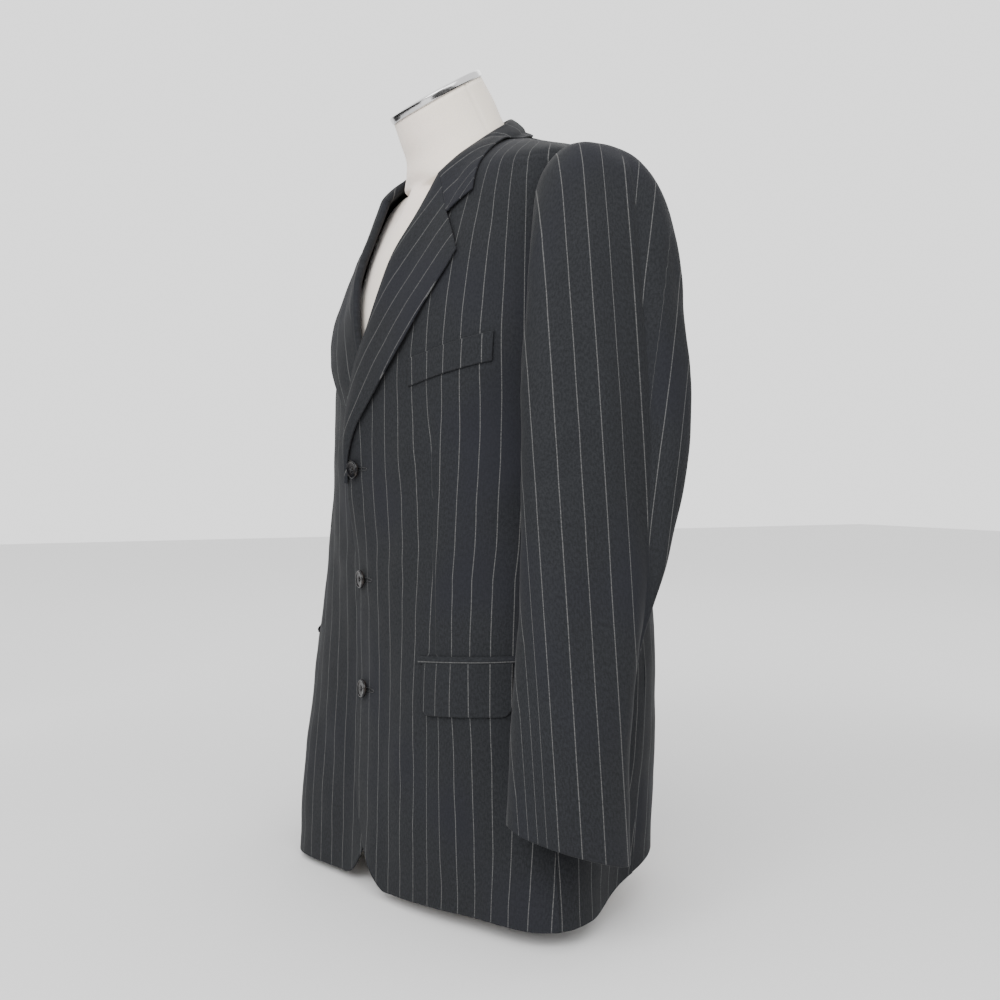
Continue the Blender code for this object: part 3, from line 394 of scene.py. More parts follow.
def armhole_floor(angle):
    turn = solve(lambda t: armhole_edge(t)[0] - angle, 110.0, 268.0)
    return armhole_edge(turn)[1]


def seam_angle(station, back=False):
    """The outer edge of a front, or of a back: the side seam, the armhole, the shoulder seam."""
    seam = SIDE_BACK_ANGLE if back else SIDE_FRONT_ANGLE
    if station < armhole_floor(seam):
        return seam
    return armhole_angle(station, back)


# Heights of the rings that the panels share, close together where the armhole turns.
STATIONS = (
    0.018, 0.048, 0.085, 0.125, 0.165, 0.210, 0.255, 0.300, 0.345, 0.385, 0.425, 0.455, 0.490,
    0.516, 0.542, armhole_floor(SIDE_FRONT_ANGLE), 0.602, 0.632, 0.662, 0.690, 0.711, 0.725,
    0.733, 0.7425, 0.7505, 0.7575, 0.764,
)
SEAM_TURN = math.degrees(SEAM_GAP / 2.0 / SEAM_RADIUS)


# ---------------------------------------------------------------- lapel and collar sections
def row_vector(rows, name, spot):
    return Vector([read(rows, f"{name}_{axis}", spot) for axis in "xyz"])


def roll_at(total):
    """The fold line of lapel and collar together, by section number from the break."""
    last = len(LAPEL) - 1.0
    if total <= last:
        return row_vector(LAPEL, "roll", max(total, 0.0))
    top = len(COLLAR) - 1.0
    here = row_vector(COLLAR, "roll", min(total - last, 2.0 * top - (total - last)))
    if total - last > top:
        here.x = -here.x
    return here


def fold_frame(rows, spot):
    """Fold line point, edge point, the direction across, and the way out, at a section."""
    total = spot if rows is LAPEL else spot + len(LAPEL) - 1.0
    roll = roll_at(total)
    edge = row_vector(rows, "edge", spot)
    along = roll_at(total + 0.25) - roll_at(total - 0.25)
    across = (edge - roll).normalized()
    if rows is COLLAR and spot < COLLAR_TURN:
        top = (row_vector(LAPEL, "edge", len(LAPEL) - 1.0) - roll_at(len(LAPEL) - 1.0)).normalized()
        across = top.lerp(across, smooth(spot / COLLAR_TURN)).normalized()
    out = across.cross(along).normalized()
    return roll, edge, across, out


def fold_point(rows, spot, place):
    """A point of a folded-over piece. place runs from -3 inside the coat round the fold at -1
    to 0 on top of it, and on to 1 at the outer edge."""
    roll, edge, across, out = fold_frame(rows, spot)
    width = (edge - roll).length
    radius = min(ROLL_RADIUS, 0.4 * width)
    middle = roll + across * radius
    if place <= -2.0:
        stand = read(rows, "stand", spot) if "stand" in rows[0] else LAPEL_STAND * smooth(spot / STAND_FULL)
        return middle - out * radius + across * (stand * (-2.0 - place) + STAND_SLOPE * (-1.0 - place))
    if place < 0.0:
        turn = math.pi * (-place / 2.0)
        return middle + out * radius * math.cos(turn) - across * radius * math.sin(turn)
    return (middle + out * radius).lerp(edge, place)


def shifted(here, side, spot):
    """A point of the lapel's sections on its own side. The right one crosses under the left."""
    if side > 0:
        return here
    x = here.x - 2.0 * CENTRE_X * (1.0 - smooth(spot / CROSSED))
    y = here.y + RIGHT_BELOW * (1.0 - smooth((spot - BELOW["start"]) / BELOW["over"]))
    return Vector((-x, y, here.z))


def fold_core(spot):
    """Where the panel's own cloth ends inside the fold, along lapel and collar. spot runs over
    the lapel's sections and then the collar's."""
    last = len(LAPEL) - 1.0
    rows, here = (LAPEL, spot) if spot <= last else (COLLAR, spot - last)
    roll, edge, across, out = fold_frame(rows, here)
    radius = min(ROLL_RADIUS, 0.4 * (edge - roll).length)
    return roll + across * (radius + CORE_BACK) - out * (WALL / 2.0)


def core_rows(side):
    """The end of a front's cloth in the fold, as rows that name the ring it crosses."""
    rows = []
    for i in range(49):
        spot = i * 0.2
        core = shifted(fold_core(spot), side, spot)
        angle = math.degrees(math.atan2(core.x, -core.y))
        station = solve(lambda h: ring_point(angle, h).z - core.z, 0.30, STATIONS[-1] + 0.010)
        rows.append({"station": station, "spot": spot, "x": core.x, "y": core.y, "z": core.z})
        if station > STATIONS[-1]:
            break
    return rows


CORES = {1: core_rows(1), -1: core_rows(-1)}


def roll_bearing(spot):
    """Direction of the collar's fold line, seen from above, as an angle from the centre front."""
    roll = row_vector(COLLAR, "roll", spot)
    return math.degrees(math.atan2(roll.x, -roll.y))


# Above the last ring the panels follow the collar: how far below its fold line each row lies, as
# a share of the collar's width, and how far round the fold line has moved on at its front end.
NECK_ROWS = table("reach further", (0.72, 0.15), (0.48, 0.30), (0.24, 0.45), (0.00, 0.60))


def mirrored(here, side):
    return Vector((side * here.x, here.y, here.z))


def neck_point(side, bearing, row, near_end=1.0):
    """A point of a panel above the last ring, where the collar's fold line has this bearing."""
    spot = solve(lambda t: roll_bearing(t) - bearing, 0.4, len(COLLAR) - 1.0)
    roll, edge, across = fold_frame(COLLAR, spot)[:3]
    here = fold_core(len(LAPEL) - 1.0 + spot) + across * (edge - roll).length * row["reach"] * near_end
    return mirrored(here, side)


def shares(count, power=1.0):
    """Even steps from 0 to 1, or closer together at 0."""
    return [(i / count) ** power for i in range(count + 1)]


@cache
def front_span(side, station):
    """The inner and outer angle of a front on a ring, and its fold point above the break."""
    outer = side * (seam_angle(station) - SEAM_TURN)
    cores = CORES[side]
    if station < cores[0]["station"]:
        return angle_at_x(CENTRE_X - side * FRONT_OVERLAP, station), outer, None
    core = Vector([read(cores, key, station, "station") for key in "xyz"])
    return math.degrees(math.atan2(core.x, -core.y)), outer, core


def front_point(side, u, station):
    """The inner surface of a front. u runs from its edge or fold line to its outer seam."""
    inner, outer, core = front_span(side, station)
    angle = inner + (outer - inner) * u
    from_edge = u * abs(outer - inner) * FRONT_DEGREE
    bottom, top = BODY[0]["station"], QUARTER_TOP
    if station < top and from_edge < QUARTER_WIDTH:
        share = 1.0 - from_edge / QUARTER_WIDTH
        level = max(1.0 - share**QUARTER_ROUND, 0.0) ** (1.0 / QUARTER_ROUND)
        rounded = QUARTER_HEIGHT * (1.0 - level)
        station = bottom + rounded + (station - bottom) * (top - bottom - rounded) / (top - bottom)
    over = OVERLAP_LIFT * smooth((LIFT_END - from_edge) / (LIFT_END - LIFT_FULL)) if side > 0 else 0.0
    if core is None:
        if side > 0:
            rise = smooth((station - PUFF_START) / (CORES[1][0]["station"] - PUFF_START))
            over += EDGE_PUFF * rise * smooth(1.0 - from_edge / PUFF_WIDTH)
        return body(angle, station, PANEL_LIFT + over)
    pull = smooth(1.0 - from_edge / PULL_WIDTH)
    gone, fade = OVERLAP_FADE
    over *= (1.0 - smooth((station - gone) / fade)) * (1.0 - pull)
    return body(angle, station, PANEL_LIFT + over) + (core - body(inner, station)) * pull


def laid(tree, here, out, lift):
    """A point moved along out until it lies lift above the surface."""
    aside = Vector((0.0015, 0.0, 0.0)) if abs(here.x) < 0.001 else Vector()
    hit = tree.ray_cast(here + aside + out * 0.04, -out, 0.08)[0]
    return here if hit is None else hit - aside + out * lift


def top_lift(place):
    """Middle of a turned-over layer above the cloth it lies on."""
    near = max(1.0 - place / ROLL_SHARE, 0.0)
    flat = LAYER_GAP + TOP_GAP + WALL / 2.0
    return flat + (ROLL_RADIUS - WALL / 2.0 - flat) * near + TOP_PUFF * math.sin(math.pi * place)


def gorge_spot(place):
    """The lapel's upper end, as a section number: it runs down from the fold to the tip."""
    top = len(LAPEL) - 1.0
    return top + (LAPEL_TIP - top) * min(max(place, 0.0), 1.0)


def lapel_point(side, place, spot, tree):
    here = shifted(fold_point(LAPEL, spot, place), side, spot)
    if place <= 0.0:
        return here
    out = fold_frame(LAPEL, spot)[3]
    out.x *= side
    low = SPRING_START[side]
    share = min(max((spot - low) / (SPRING_END - low), 0.0), 1.0)
    spring = SPRING[side] * place**2 * math.sin(math.pi * share) ** 2
    return laid(tree, here, out, top_lift(place) + spring)


# ---------------------------------------------------------------- sleeves
def armhole_point(turn, grow=0.0, lift=0.0):
    """The edge of the armhole, moved out."""
    angle, station = armhole_edge(turn, grow)
    return body(angle, station, lift)


def sleeve_section(turn, spot):
    """A point of the sleeve on a section of the table."""
    value = {key: read(SLEEVE, key, spot) for key in SLEEVE[0]}
    outer = Vector((value["outer_x"], 0.0, value["outer_z"]))
    inner = Vector((value["inner_x"], 0.0, value["inner_z"]))
    middle_y = (value["fore_y"] + value["back_y"]) / 2.0
    half_y = (value["back_y"] - value["fore_y"]) / 2.0
    sine, cosine = math.sin(math.radians(turn)), math.cos(math.radians(turn))
    middle = (outer + inner) / 2.0
    reach = (outer - inner) / 2.0
    crease = value["fold"] * bell(turned(turn - value["fold_angle"]), FOLD_HALF_ANGLE)
    reach = reach * (abs(cosine) ** SLEEVE_ROUND["across"] * math.copysign(1.0, cosine))
    reach -= reach.normalized() * crease if reach.length > 0 else Vector()
    swing = math.radians(SLEEVE_TURN) * smooth(spot / SLEEVE_TURNED)
    fore = -half_y * abs(sine) ** SLEEVE_ROUND["along"] * math.copysign(1.0, sine)
    rise = SLEEVE_CUFF_RISE * smooth(spot - CUFF_RISE_START) * (-fore / half_y)
    here = middle + reach
    return Vector((
        here.x + math.sin(swing) * fore,
        middle_y + fore * math.cos(swing),
        here.z + rise,
    ))


def sleeve_spot(v):
    """The section of the table at a share of the sleeve's length."""
    return (len(SLEEVE) - 1.0) * np.maximum(v - SLEEVE_START, 0.0) / (1.0 - SLEEVE_START)


def sleeve_point(turn, v):
    """v runs from 0 at the armhole to 1 at the cuff."""
    if v < SLEEVE_START:
        edge = armhole_point(turn, **SLEEVE_HEAD)
        return edge.lerp(sleeve_section(turn, 0.0), v / SLEEVE_START)
    return sleeve_section(turn, sleeve_spot(v))


SLEEVE_ROWS = (
    0.0, 0.06, 0.10, 0.145, 0.19, 0.24, 0.30, 0.36, 0.42, 0.48, 0.54, 0.60, 0.66, 0.72, 0.78,
    0.84, 0.89, 0.94, 1.0,
)


def form_torso(angle, station, inset, chest):
    """The body's ring without its flares, drawn in, with the chest brought forward."""
    turn = math.radians(angle)
    sine, cosine = math.sin(turn), math.cos(turn)
    reach, height = plain_ring(sine, cosine, station, inset)
    forward = chest * bell(turned(angle), CHEST_HALF_ANGLE)
    return Vector((reach * sine, -reach * cosine - forward, height - inset * 0.3))


# ---------------------------------------------------------------- materials
PITCH = 0.0208           # between pinstripes
WOOL_DARK = (0.0088, 0.0094, 0.0108, 1.0)
WOOL_LIGHT = (0.0150, 0.0160, 0.0182, 1.0)
WOOL_BLUE = (0.0108, 0.0112, 0.0160, 1.0)
STRIPE_COLOUR = (0.085, 0.085, 0.084, 1.0)
STRIPE_HALF = 0.00040    # half width of a stripe, and of its soft edge
STRIPE_SOFT = 0.00020
TWILL = 0.0011           # between the diagonal lines of the weave
FORM_COLOUR = (0.735, 0.665, 0.575, 1.0)
FORM_WARM = (0.745, 0.650, 0.590, 1.0)
FORM_SHADE = (0.56, 0.50, 0.43, 1.0)
HORN_DARK = (0.004, 0.004, 0.005, 1.0)
HORN_STREAK = (0.026, 0.021, 0.018, 1.0)
STEEL_COLD = (0.52, 0.52, 0.54, 1.0)
STEEL_WARM = (0.60, 0.59, 0.58, 1.0)


class Nodes:
    """Short ways to add and join the nodes of one material."""

    def __init__(self, name):
        self.material = bpy.data.materials.new(name)
        self.material.use_nodes = True
        self.tree = self.material.node_tree
        self.shader = self.tree.nodes["Principled BSDF"]

    def add(self, kind, **settings):
        node = self.tree.nodes.new(kind)
        for key, value in settings.items():
            setattr(node, key, value)
        return node

    def give(self, node, **values):
        """Sets or joins inputs of a node. Their names have _ for each space."""
        for name, value in values.items():
            self.fill(node.inputs[name.replace("_", " ")], value)

    def fill(self, socket, value):
        if isinstance(value, bpy.types.NodeSocket):
            self.tree.links.new(value, socket)
        else:
            socket.default_value = value

    def sum(self, operation, first, second=0.0, clamp=False):
        node = self.add("ShaderNodeMath", operation=operation, use_clamp=clamp)
        self.fill(node.inputs[0], first)
        self.fill(node.inputs[1], second)
        return node.outputs[0]

    def ramp(self, value, low, high, to_low, to_high):
        node = self.add("ShaderNodeMapRange", interpolation_type="SMOOTHSTEP")
        self.give(node, Value=value, From_Min=low, From_Max=high, To_Min=to_low, To_Max=to_high)
        return node.outputs[0]

    def noise(self, vector, scale, detail=2.0, stretch=None):
        if stretch:
            mapping = self.add("ShaderNodeMapping")
            self.give(mapping, Scale=stretch, Vector=vector)
            vector = mapping.outputs[0]
        node = self.add("ShaderNodeTexNoise")
        self.give(node, Scale=scale, Detail=detail, Vector=vector)
        return node.outputs["Fac"]

    def mix(self, factor, first, second):
        node = self.add("ShaderNodeMix", data_type="RGBA")
        self.fill(node.inputs["Factor"], factor)
        self.fill(node.inputs[6], first)
        self.fill(node.inputs[7], second)
        return node.outputs[2]

    def bump(self, height, strength, distance):
        node = self.add("ShaderNodeBump")
        self.give(node, Strength=strength, Distance=distance, Height=height)
        return node.outputs[0]

    def object_place(self):
        return self.add("ShaderNodeTexCoord").outputs["Object"]


def wool():
    """Charcoal worsted in a fine twill, with grey pinstripes along the second axis of the map."""
    made = Nodes("pinstripe_wool")
    cloth = made.add("ShaderNodeUVMap", uv_map="cloth").outputs[0]
    axes = made.add("ShaderNodeSeparateXYZ")
    made.fill(axes.inputs[0], cloth)
    across, along = axes.outputs[0], axes.outputs[1]
    turn = made.sum("FRACT", made.sum("DIVIDE", across, PITCH))
    aside = made.sum("MULTIPLY", made.sum("ABSOLUTE", made.sum("SUBTRACT", turn, 0.5)), PITCH)
    line = made.ramp(aside, STRIPE_HALF - STRIPE_SOFT, STRIPE_HALF + STRIPE_SOFT, 1.0, 0.0)
    pins = made.noise(cloth, 900.0, 1.0, (0.6, 1.0, 1.0))
    line = made.sum("MULTIPLY", line, made.ramp(pins, 0.25, 0.66, 0.35, 1.0))
    plain = made.add("ShaderNodeAttribute", attribute_name="plain").outputs["Fac"]
    line = made.sum("MULTIPLY", line, made.sum("SUBTRACT", 1.0, plain, clamp=True))
    flecks = made.noise(cloth, 620.0, 3.0, (1.0, 0.45, 1.0))
    threads = made.noise(cloth, 1500.0, 1.0, (0.25, 1.0, 1.0))
    mottled = made.sum("ADD", flecks, made.sum("MULTIPLY", threads, 0.5))
    grey = made.mix(made.ramp(mottled, 0.55, 0.95, 0.0, 1.0), WOOL_DARK, WOOL_LIGHT)
    patches = made.noise(cloth, 7.0, 1.0)
    cast = made.ramp(patches, 0.45, 0.68, 0.0, 0.55)
    colour = made.mix(line, made.mix(cast, grey, WOOL_BLUE), STRIPE_COLOUR)
    twill = made.sum("SINE", made.sum("MULTIPLY", made.sum("ADD", across, along), math.tau / TWILL))
    height = made.sum("ADD", made.sum("MULTIPLY", twill, 0.25), made.sum("ADD", threads, flecks))
    height = made.sum("ADD", height, made.sum("MULTIPLY", line, 0.35))
    made.give(
        made.shader, Base_Color=colour, Normal=made.bump(height, 0.55, 0.00012), Roughness=0.86,
        Specular_IOR_Level=0.14, Sheen_Weight=0.035, Sheen_Roughness=0.45,
    )
    return made.material


def horn():
    """Dark glossy buttons with brown and grey streaks."""
    made = Nodes("horn_button")
    place = made.object_place()
    streaks = made.noise(place, 160.0, 4.0, (1.0, 0.35, 1.0))
    made.give(
        made.shader,
        Base_Color=made.mix(made.ramp(streaks, 0.42, 0.72, 0.0, 1.0), HORN_DARK, HORN_STREAK),
        Normal=made.bump(made.noise(place, 900.0, 2.0), 0.10, 0.0002),
        Roughness=0.26, Specular_IOR_Level=0.22, Coat_Weight=0.10, Coat_Roughness=0.08,
    )
    return made.material


def thread(name, colour):
    made = Nodes(name)
    place = made.object_place()
    lighter = tuple(c * 1.8 for c in colour[:3]) + (1.0,)
    made.give(
        made.shader, Base_Color=made.mix(made.noise(place, 2500.0, 2.0), colour, lighter),
        Normal=made.bump(made.noise(place, 3500.0, 1.0), 0.5, 0.0001), Roughness=0.6,
    )
    return made.material


def cover_cloth():
    """The form's cream jersey: a fine knit, slightly uneven."""
    made = Nodes("form_jersey")
    place = made.object_place()
    tint = made.ramp(made.noise(place, 9.0, 2.0), 0.35, 0.7, 0.0, 1.0)
    knit = made.noise(place, 1300.0, 2.0, (1.0, 1.0, 0.5))
    colour = made.mix(tint, FORM_COLOUR, FORM_WARM)
    made.give(
        made.shader, Base_Color=made.mix(made.ramp(knit, 0.3, 0.7, 0.0, 0.35), colour, FORM_SHADE),
        Normal=made.bump(knit, 0.35, 0.0002), Roughness=0.82, Sheen_Weight=0.25,
    )
    return made.material


def polished():
    made = Nodes("polished_steel")
    wear = made.noise(made.object_place(), 260.0, 3.0, (1.0, 1.0, 12.0))
    made.give(
        made.shader, Base_Color=made.mix(wear, STEEL_COLD, STEEL_WARM), Metallic=1.0,
        Roughness=made.ramp(wear, 0.2, 0.8, 0.10, 0.24),
    )
    return made.material


WOOL = wool()
HORN = horn()
THREAD = thread("button_thread", (0.014, 0.014, 0.015, 1.0))
BUTTONHOLE = thread("buttonhole_silk", (0.009, 0.009, 0.010, 1.0))
JERSEY = cover_cloth()
STEEL = polished()

# ---------------------------------------------------------------- fine grids of cloth
MESH_STEP = 0.0034       # spacing of the fine grids
EDGE_STEP = 0.0009       # the outermost line of points lies this near an edge
SHORTEST_SIDE = 0.010    # least width and length reckoned for a piece; the lips above the flaps show less


def ease(values):
    """smooth() for a whole array."""
    held = np.clip(values, 0.0, 1.0)
    return held * held * (3.0 - 2.0 * held)


def through(data, places):
    """Cubic curves through the rows of data, read at fractional row numbers."""
    slope = np.gradient(data, axis=0)
    low = np.clip(np.floor(places).astype(int), 0, len(data) - 2)
    part = (places - low).reshape((-1,) + (1,) * (data.ndim - 1))
    square, cube = part**2, part**3
    return (
        data[low] * (2 * cube - 3 * square + 1)
        + data[low + 1] * (3 * square - 2 * cube)
        + slope[low] * (cube - 2 * square + part)
        + slope[low + 1] * (cube - square)
    )


def fine_places(data, spacing):
    """Fractional row numbers about spacing apart on the surface, closer at both ends."""
    lengths = np.linalg.norm(np.diff(data, axis=0), axis=-1).mean(axis=1)
    places = [0.0]
    for i, length in enumerate(lengths):
        parts = max(1, math.ceil(length / spacing))
        places += [i + (k + 1) / parts for k in range(parts)]
    places.insert(1, places[1] * min(EDGE_STEP / lengths[0] / places[1], 0.5))
    last_gap = places[-1] - places[-2]
    places.insert(-1, places[-1] - last_gap * min(EDGE_STEP / lengths[-1] / last_gap, 0.5))
    return np.array(places)


class Sheet:
    """Points of a sheet of cloth in rows, with the two numbers that place each on the piece."""

    def __init__(self, columns, rows, point, side=1, spacing=MESH_STEP):
        coarse = np.array([[point(u, v) for u in columns] for v in rows])
        places = fine_places(coarse, spacing)
        self.v = np.interp(places, range(len(rows)), rows)
        turned = through(coarse, places).swapaxes(0, 1)
        places = fine_places(turned, spacing)
        self.u = np.interp(places, range(len(columns)), columns)
        self.points = through(turned, places).swapaxes(0, 1)
        self.side = side
        self.plain = np.zeros(self.points.shape[:2])

    def out(self):
        across = np.gradient(self.points, axis=1)
        along = np.gradient(self.points, axis=0)
        normal = np.cross(across, along) * self.side
        return normal / np.linalg.norm(normal, axis=2, keepdims=True)

    def tangent(self):
        across = np.gradient(self.points, axis=1)
        return across / np.linalg.norm(across, axis=2, keepdims=True)

    def lengths(self, axis, level=False):
        """Distance along each row (axis 1) or column (axis 0) from its first point."""
        step = np.diff(self.points, axis=axis)
        if level:
            step = step[..., :2]
        step = np.linalg.norm(step, axis=-1)
        total = np.cumsum(step, axis=axis)
        return np.concatenate([np.zeros_like(np.take(total, [0], axis)), total], axis=axis)

    def area(self):
        a = np.diff(self.points, axis=1)[:-1]
        b = np.diff(self.points, axis=0)[:, :-1]
        return float(np.linalg.norm(np.cross(a, b), axis=2).sum())


def bells(away, half_width):
    """bell() for a whole array."""
    return np.exp(-((away / half_width) ** 2))


FOLD = "from_a from_b to_a to_b bow depth width"


def press(sheet, a, b, folds):
    """Soft ridges and troughs. Each row of folds runs from one place to another on the piece, with
    a bow to one side, and stands out by depth, or in if depth is negative."""
    total = np.zeros_like(a)
    for fold in folds:
        start = np.array((fold["from_a"], fold["from_b"]))
        way = np.array((fold["to_a"], fold["to_b"])) - start
        length = math.hypot(*way)
        way = way / length
        da, db = a - start[0], b - start[1]
        along = (da * way[0] + db * way[1]) / length
        bow = fold["bow"] * 4.0 * along * (1.0 - along)
        aside = da * way[1] - db * way[0] - bow
        ends = ease(along / 0.3) * ease((1.0 - along) / 0.3)
        total += fold["depth"] * ends * bells(aside, fold["width"])
    sheet.points += sheet.out() * total[..., None]


# Waves of the slight unevenness of worn cloth: how many a metre each way, height and start.
WAVES = table(
    "a b height start",
    (9.0, 3.1, 0.00034, 0.0),
    (-5.3, 7.7, 0.00030, 1.3),
    (14.2, -6.1, 0.00022, 2.1),
    (4.1, 13.7, 0.00020, 4.4),
    (-21.0, 11.0, 0.00012, 0.7),
    (17.0, 24.0, 0.00010, 3.6),
)


def rumple(sheet, a, b, amount=1.0):
    """Adds the waves, from two distances along the cloth."""
    total = np.zeros_like(a)
    for wave in WAVES:
        total += wave["height"] * np.sin(math.tau * (wave["a"] * a + wave["b"] * b) + wave["start"])
    sheet.points += sheet.out() * (total * amount)[..., None]


def border(rows, columns):
    """The points round the edge of a grid, in order, as row and column numbers."""
    ring = [(0, j) for j in range(columns)]
    ring += [(i, columns - 1) for i in range(1, rows)]
    ring += [(rows - 1, j) for j in range(columns - 2, -1, -1)]
    ring += [(i, 0) for i in range(rows - 2, 0, -1)]
    return np.array(ring)


def placed(name, data):
    """A new object in the scene."""
    made = bpy.data.objects.new(name, data)
    bpy.context.scene.collection.objects.link(made)
    return made


def as_mesh(name, bm):
    mesh = bpy.data.meshes.new(name)
    bm.to_mesh(mesh)
    bm.free()
    return mesh


def piece_object(name, mesh, finish, node):
    made = placed(name, mesh)
    mesh.materials.append(finish)
    mesh.shade_smooth()
    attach(made, "root")
    if node:
        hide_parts(node)
    return made


def cloth_piece(name, sheet, across, along, node, wall=WALL, offset=1.0):
    """A sheet with the cloth's thickness and a rounded edge, its map in metres of cloth."""
    rows, columns = sheet.points.shape[:2]
    out = sheet.out()
    low = sheet.points + out * wall * (offset - 1.0) / 2.0
    high = low + out * wall
    ring = border(rows, columns)
    inner = np.clip(ring, 1, [rows - 2, columns - 2])
    rim_place = sheet.points[ring[:, 0], ring[:, 1]]
    away = rim_place - sheet.points[inner[:, 0], inner[:, 1]]
    away /= np.linalg.norm(away, axis=1, keepdims=True)
    rim = (low + high)[ring[:, 0], ring[:, 1]] / 2.0 + away * wall * 0.3
    count = rows * columns
    points = np.concatenate([high.reshape(-1, 3), low.reshape(-1, 3), rim])
    index = np.arange(count).reshape(rows, columns)
    quads = np.stack([index[:-1, :-1], index[:-1, 1:], index[1:, 1:], index[1:, :-1]], -1)
    quads = quads.reshape(-1, 4)
    edge = index[ring[:, 0], ring[:, 1]]
    middle = 2 * count + np.arange(len(ring))
    upper = np.stack([edge, middle, np.roll(middle, -1), np.roll(edge, -1)], -1)
    lower = np.stack([middle, edge + count, np.roll(edge, -1) + count, np.roll(middle, -1)], -1)
    faces = np.concatenate([quads, quads[:, ::-1] + count, upper, lower])
    if sheet.side < 0:
        faces = faces[:, ::-1]
    mesh = bpy.data.meshes.new(name)
    mesh.vertices.add(len(points))
    mesh.vertices.foreach_set("co", points.astype(np.float32).ravel())
    mesh.loops.add(faces.size)
    mesh.loops.foreach_set("vertex_index", faces.astype(np.int32).ravel())
    mesh.polygons.add(len(faces))
    mesh.polygons.foreach_set("loop_start", np.arange(0, faces.size, 4, dtype=np.int32))
    flat = np.stack([across, along], -1).reshape(-1, 2)
    by_point = np.concatenate([flat, flat, flat[edge]])
    layer = mesh.uv_layers.new(name="cloth")
    layer.uv.foreach_set("vector", by_point[faces.ravel()].astype(np.float32).ravel())
    plain = sheet.plain.reshape(-1)
    attribute = mesh.attributes.new("plain", "FLOAT", "POINT")
    attribute.data.foreach_set("value", np.concatenate([plain, plain, plain[edge]]).astype(np.float32))
    mesh.update()
    mesh.validate()
    made = piece_object(name, mesh, WOOL, node)
    width = max(round(float(sheet.lengths(1)[:, -1].max()), 4), SHORTEST_SIDE)
    length = max(round(float(sheet.lengths(0)[-1].max()), 4), SHORTEST_SIDE)
    area = min(sheet.area(), width * length)
    return made


def surface(*objects):
    """The faces of some objects, for laying pieces on them."""
    gathered = bmesh.new()
    for item in objects:
        gathered.from_mesh(item.data)
    tree = BVHTree.FromBMesh(gathered)
    gathered.free()
    return tree


def finer(values, parts):
    """The same list with parts steps for each one."""
    steps = [values[0]]
    for low, high in zip(values, values[1:]):
        steps += [low + (high - low) * (k + 1) / parts for k in range(parts)]
    return steps


# ---------------------------------------------------------------- body panels
HANG_FROM = 0.450        # above this height the stripes go the way the cloth hangs
DART = {"across": 0.126, "low": 0.255, "top": 0.500, "start": 0.02}
DART_HALF = 0.0016       # half width of the dart's line, where no stripe shows
DART_DEPTH = 0.0008      # and how far it is drawn in
DART_STEP = 0.0014       # the stripes move on over this width at the seam
DART_SPREAD = 0.040      # and over this width below and above it
# How far the stripes have moved behind the dart, and just before it, at each height.
DART_TAKES = table(
    "height behind before",
    (0.050, 0.0020, 0.0000),
    (0.200, 0.0085, 0.0000),
    (0.280, 0.0085, 0.0050),
    (0.330, 0.0080, 0.0095),
    (0.360, 0.0050, 0.0120),
    (0.400, 0.0030, 0.0125),
    (0.440, 0.0010, 0.0110),
    (0.500, 0.0000, 0.0040),
    (0.550, 0.0000, -0.0020),
    (0.620, 0.0000, -0.0040),
)
# How far the stripes of some pieces are shifted across.
SHIFT = {"side": 0.3, "back": 0.5 * PITCH, "under": 0.4 * PITCH, "lapel": 0.3 * PITCH,
         "collar": 0.5 * PITCH}
WORD = {1: "left", -1: "right"}
FRONT_FOLDS = table(
    FOLD,
    (0.010, 0.425, 0.030, 0.335, -0.004, -0.0011, 0.012),
    (0.012, 0.310, 0.034, 0.220, -0.005, -0.0010, 0.013),
    (0.040, 0.420, 0.110, 0.470, 0.006, 0.0012, 0.016),
    (0.030, 0.325, 0.120, 0.345, -0.006, 0.0009, 0.014),
    (0.060, 0.300, 0.130, 0.400, 0.008, -0.0010, 0.018),
    (0.160, 0.380, 0.235, 0.470, 0.010, 0.0016, 0.020),
    (0.150, 0.440, 0.225, 0.560, 0.012, -0.0018, 0.022),
    (0.175, 0.700, 0.190, 0.560, -0.008, -0.0022, 0.018),
    (0.060, 0.180, 0.070, 0.030, 0.004, 0.0016, 0.022),
    (0.130, 0.170, 0.150, 0.025, 0.006, 0.0020, 0.026),
    (0.105, 0.175, 0.112, 0.030, -0.004, -0.0014, 0.020),
    (0.200, 0.190, 0.215, 0.030, 0.006, -0.0016, 0.020),
)
BACK_FOLDS = table(
    FOLD,
    (0.145, 0.640, 0.120, 0.480, 0.010, 0.0030, 0.024),
    (0.110, 0.600, 0.090, 0.450, 0.008, -0.0018, 0.020),
    (0.030, 0.440, 0.130, 0.470, 0.008, 0.0018, 0.014),
    (0.020, 0.415, 0.110, 0.425, -0.006, -0.0014, 0.012),
    (0.040, 0.385, 0.150, 0.410, 0.006, 0.0014, 0.015),
    (0.060, 0.280, 0.070, 0.090, 0.008, 0.0026, 0.026),
    (0.120, 0.300, 0.135, 0.080, -0.006, -0.0022, 0.024),
    (0.030, 0.240, 0.034, 0.080, 0.004, -0.0014, 0.020),
    (0.020, 0.745, 0.120, 0.720, -0.004, -0.0012, 0.012),
    (0.160, 0.590, 0.150, 0.500, 0.004, -0.0020, 0.016),
)
SIDE_FOLDS = table(
    FOLD,
    (0.020, 0.520, 0.050, 0.430, 0.004, 0.0012, 0.013),
    (0.060, 0.500, 0.080, 0.400, 0.004, -0.0012, 0.013),
    (0.045, 0.300, 0.050, 0.060, 0.004, 0.0016, 0.020),
    (0.085, 0.280, 0.080, 0.070, -0.003, -0.0012, 0.016),
)


# The rings up to the last, by height, and then the rows at the neck, by number.
PANEL_ROWS = finer(STATIONS, 2) + [1.0, 2.0, 3.0, 4.0]


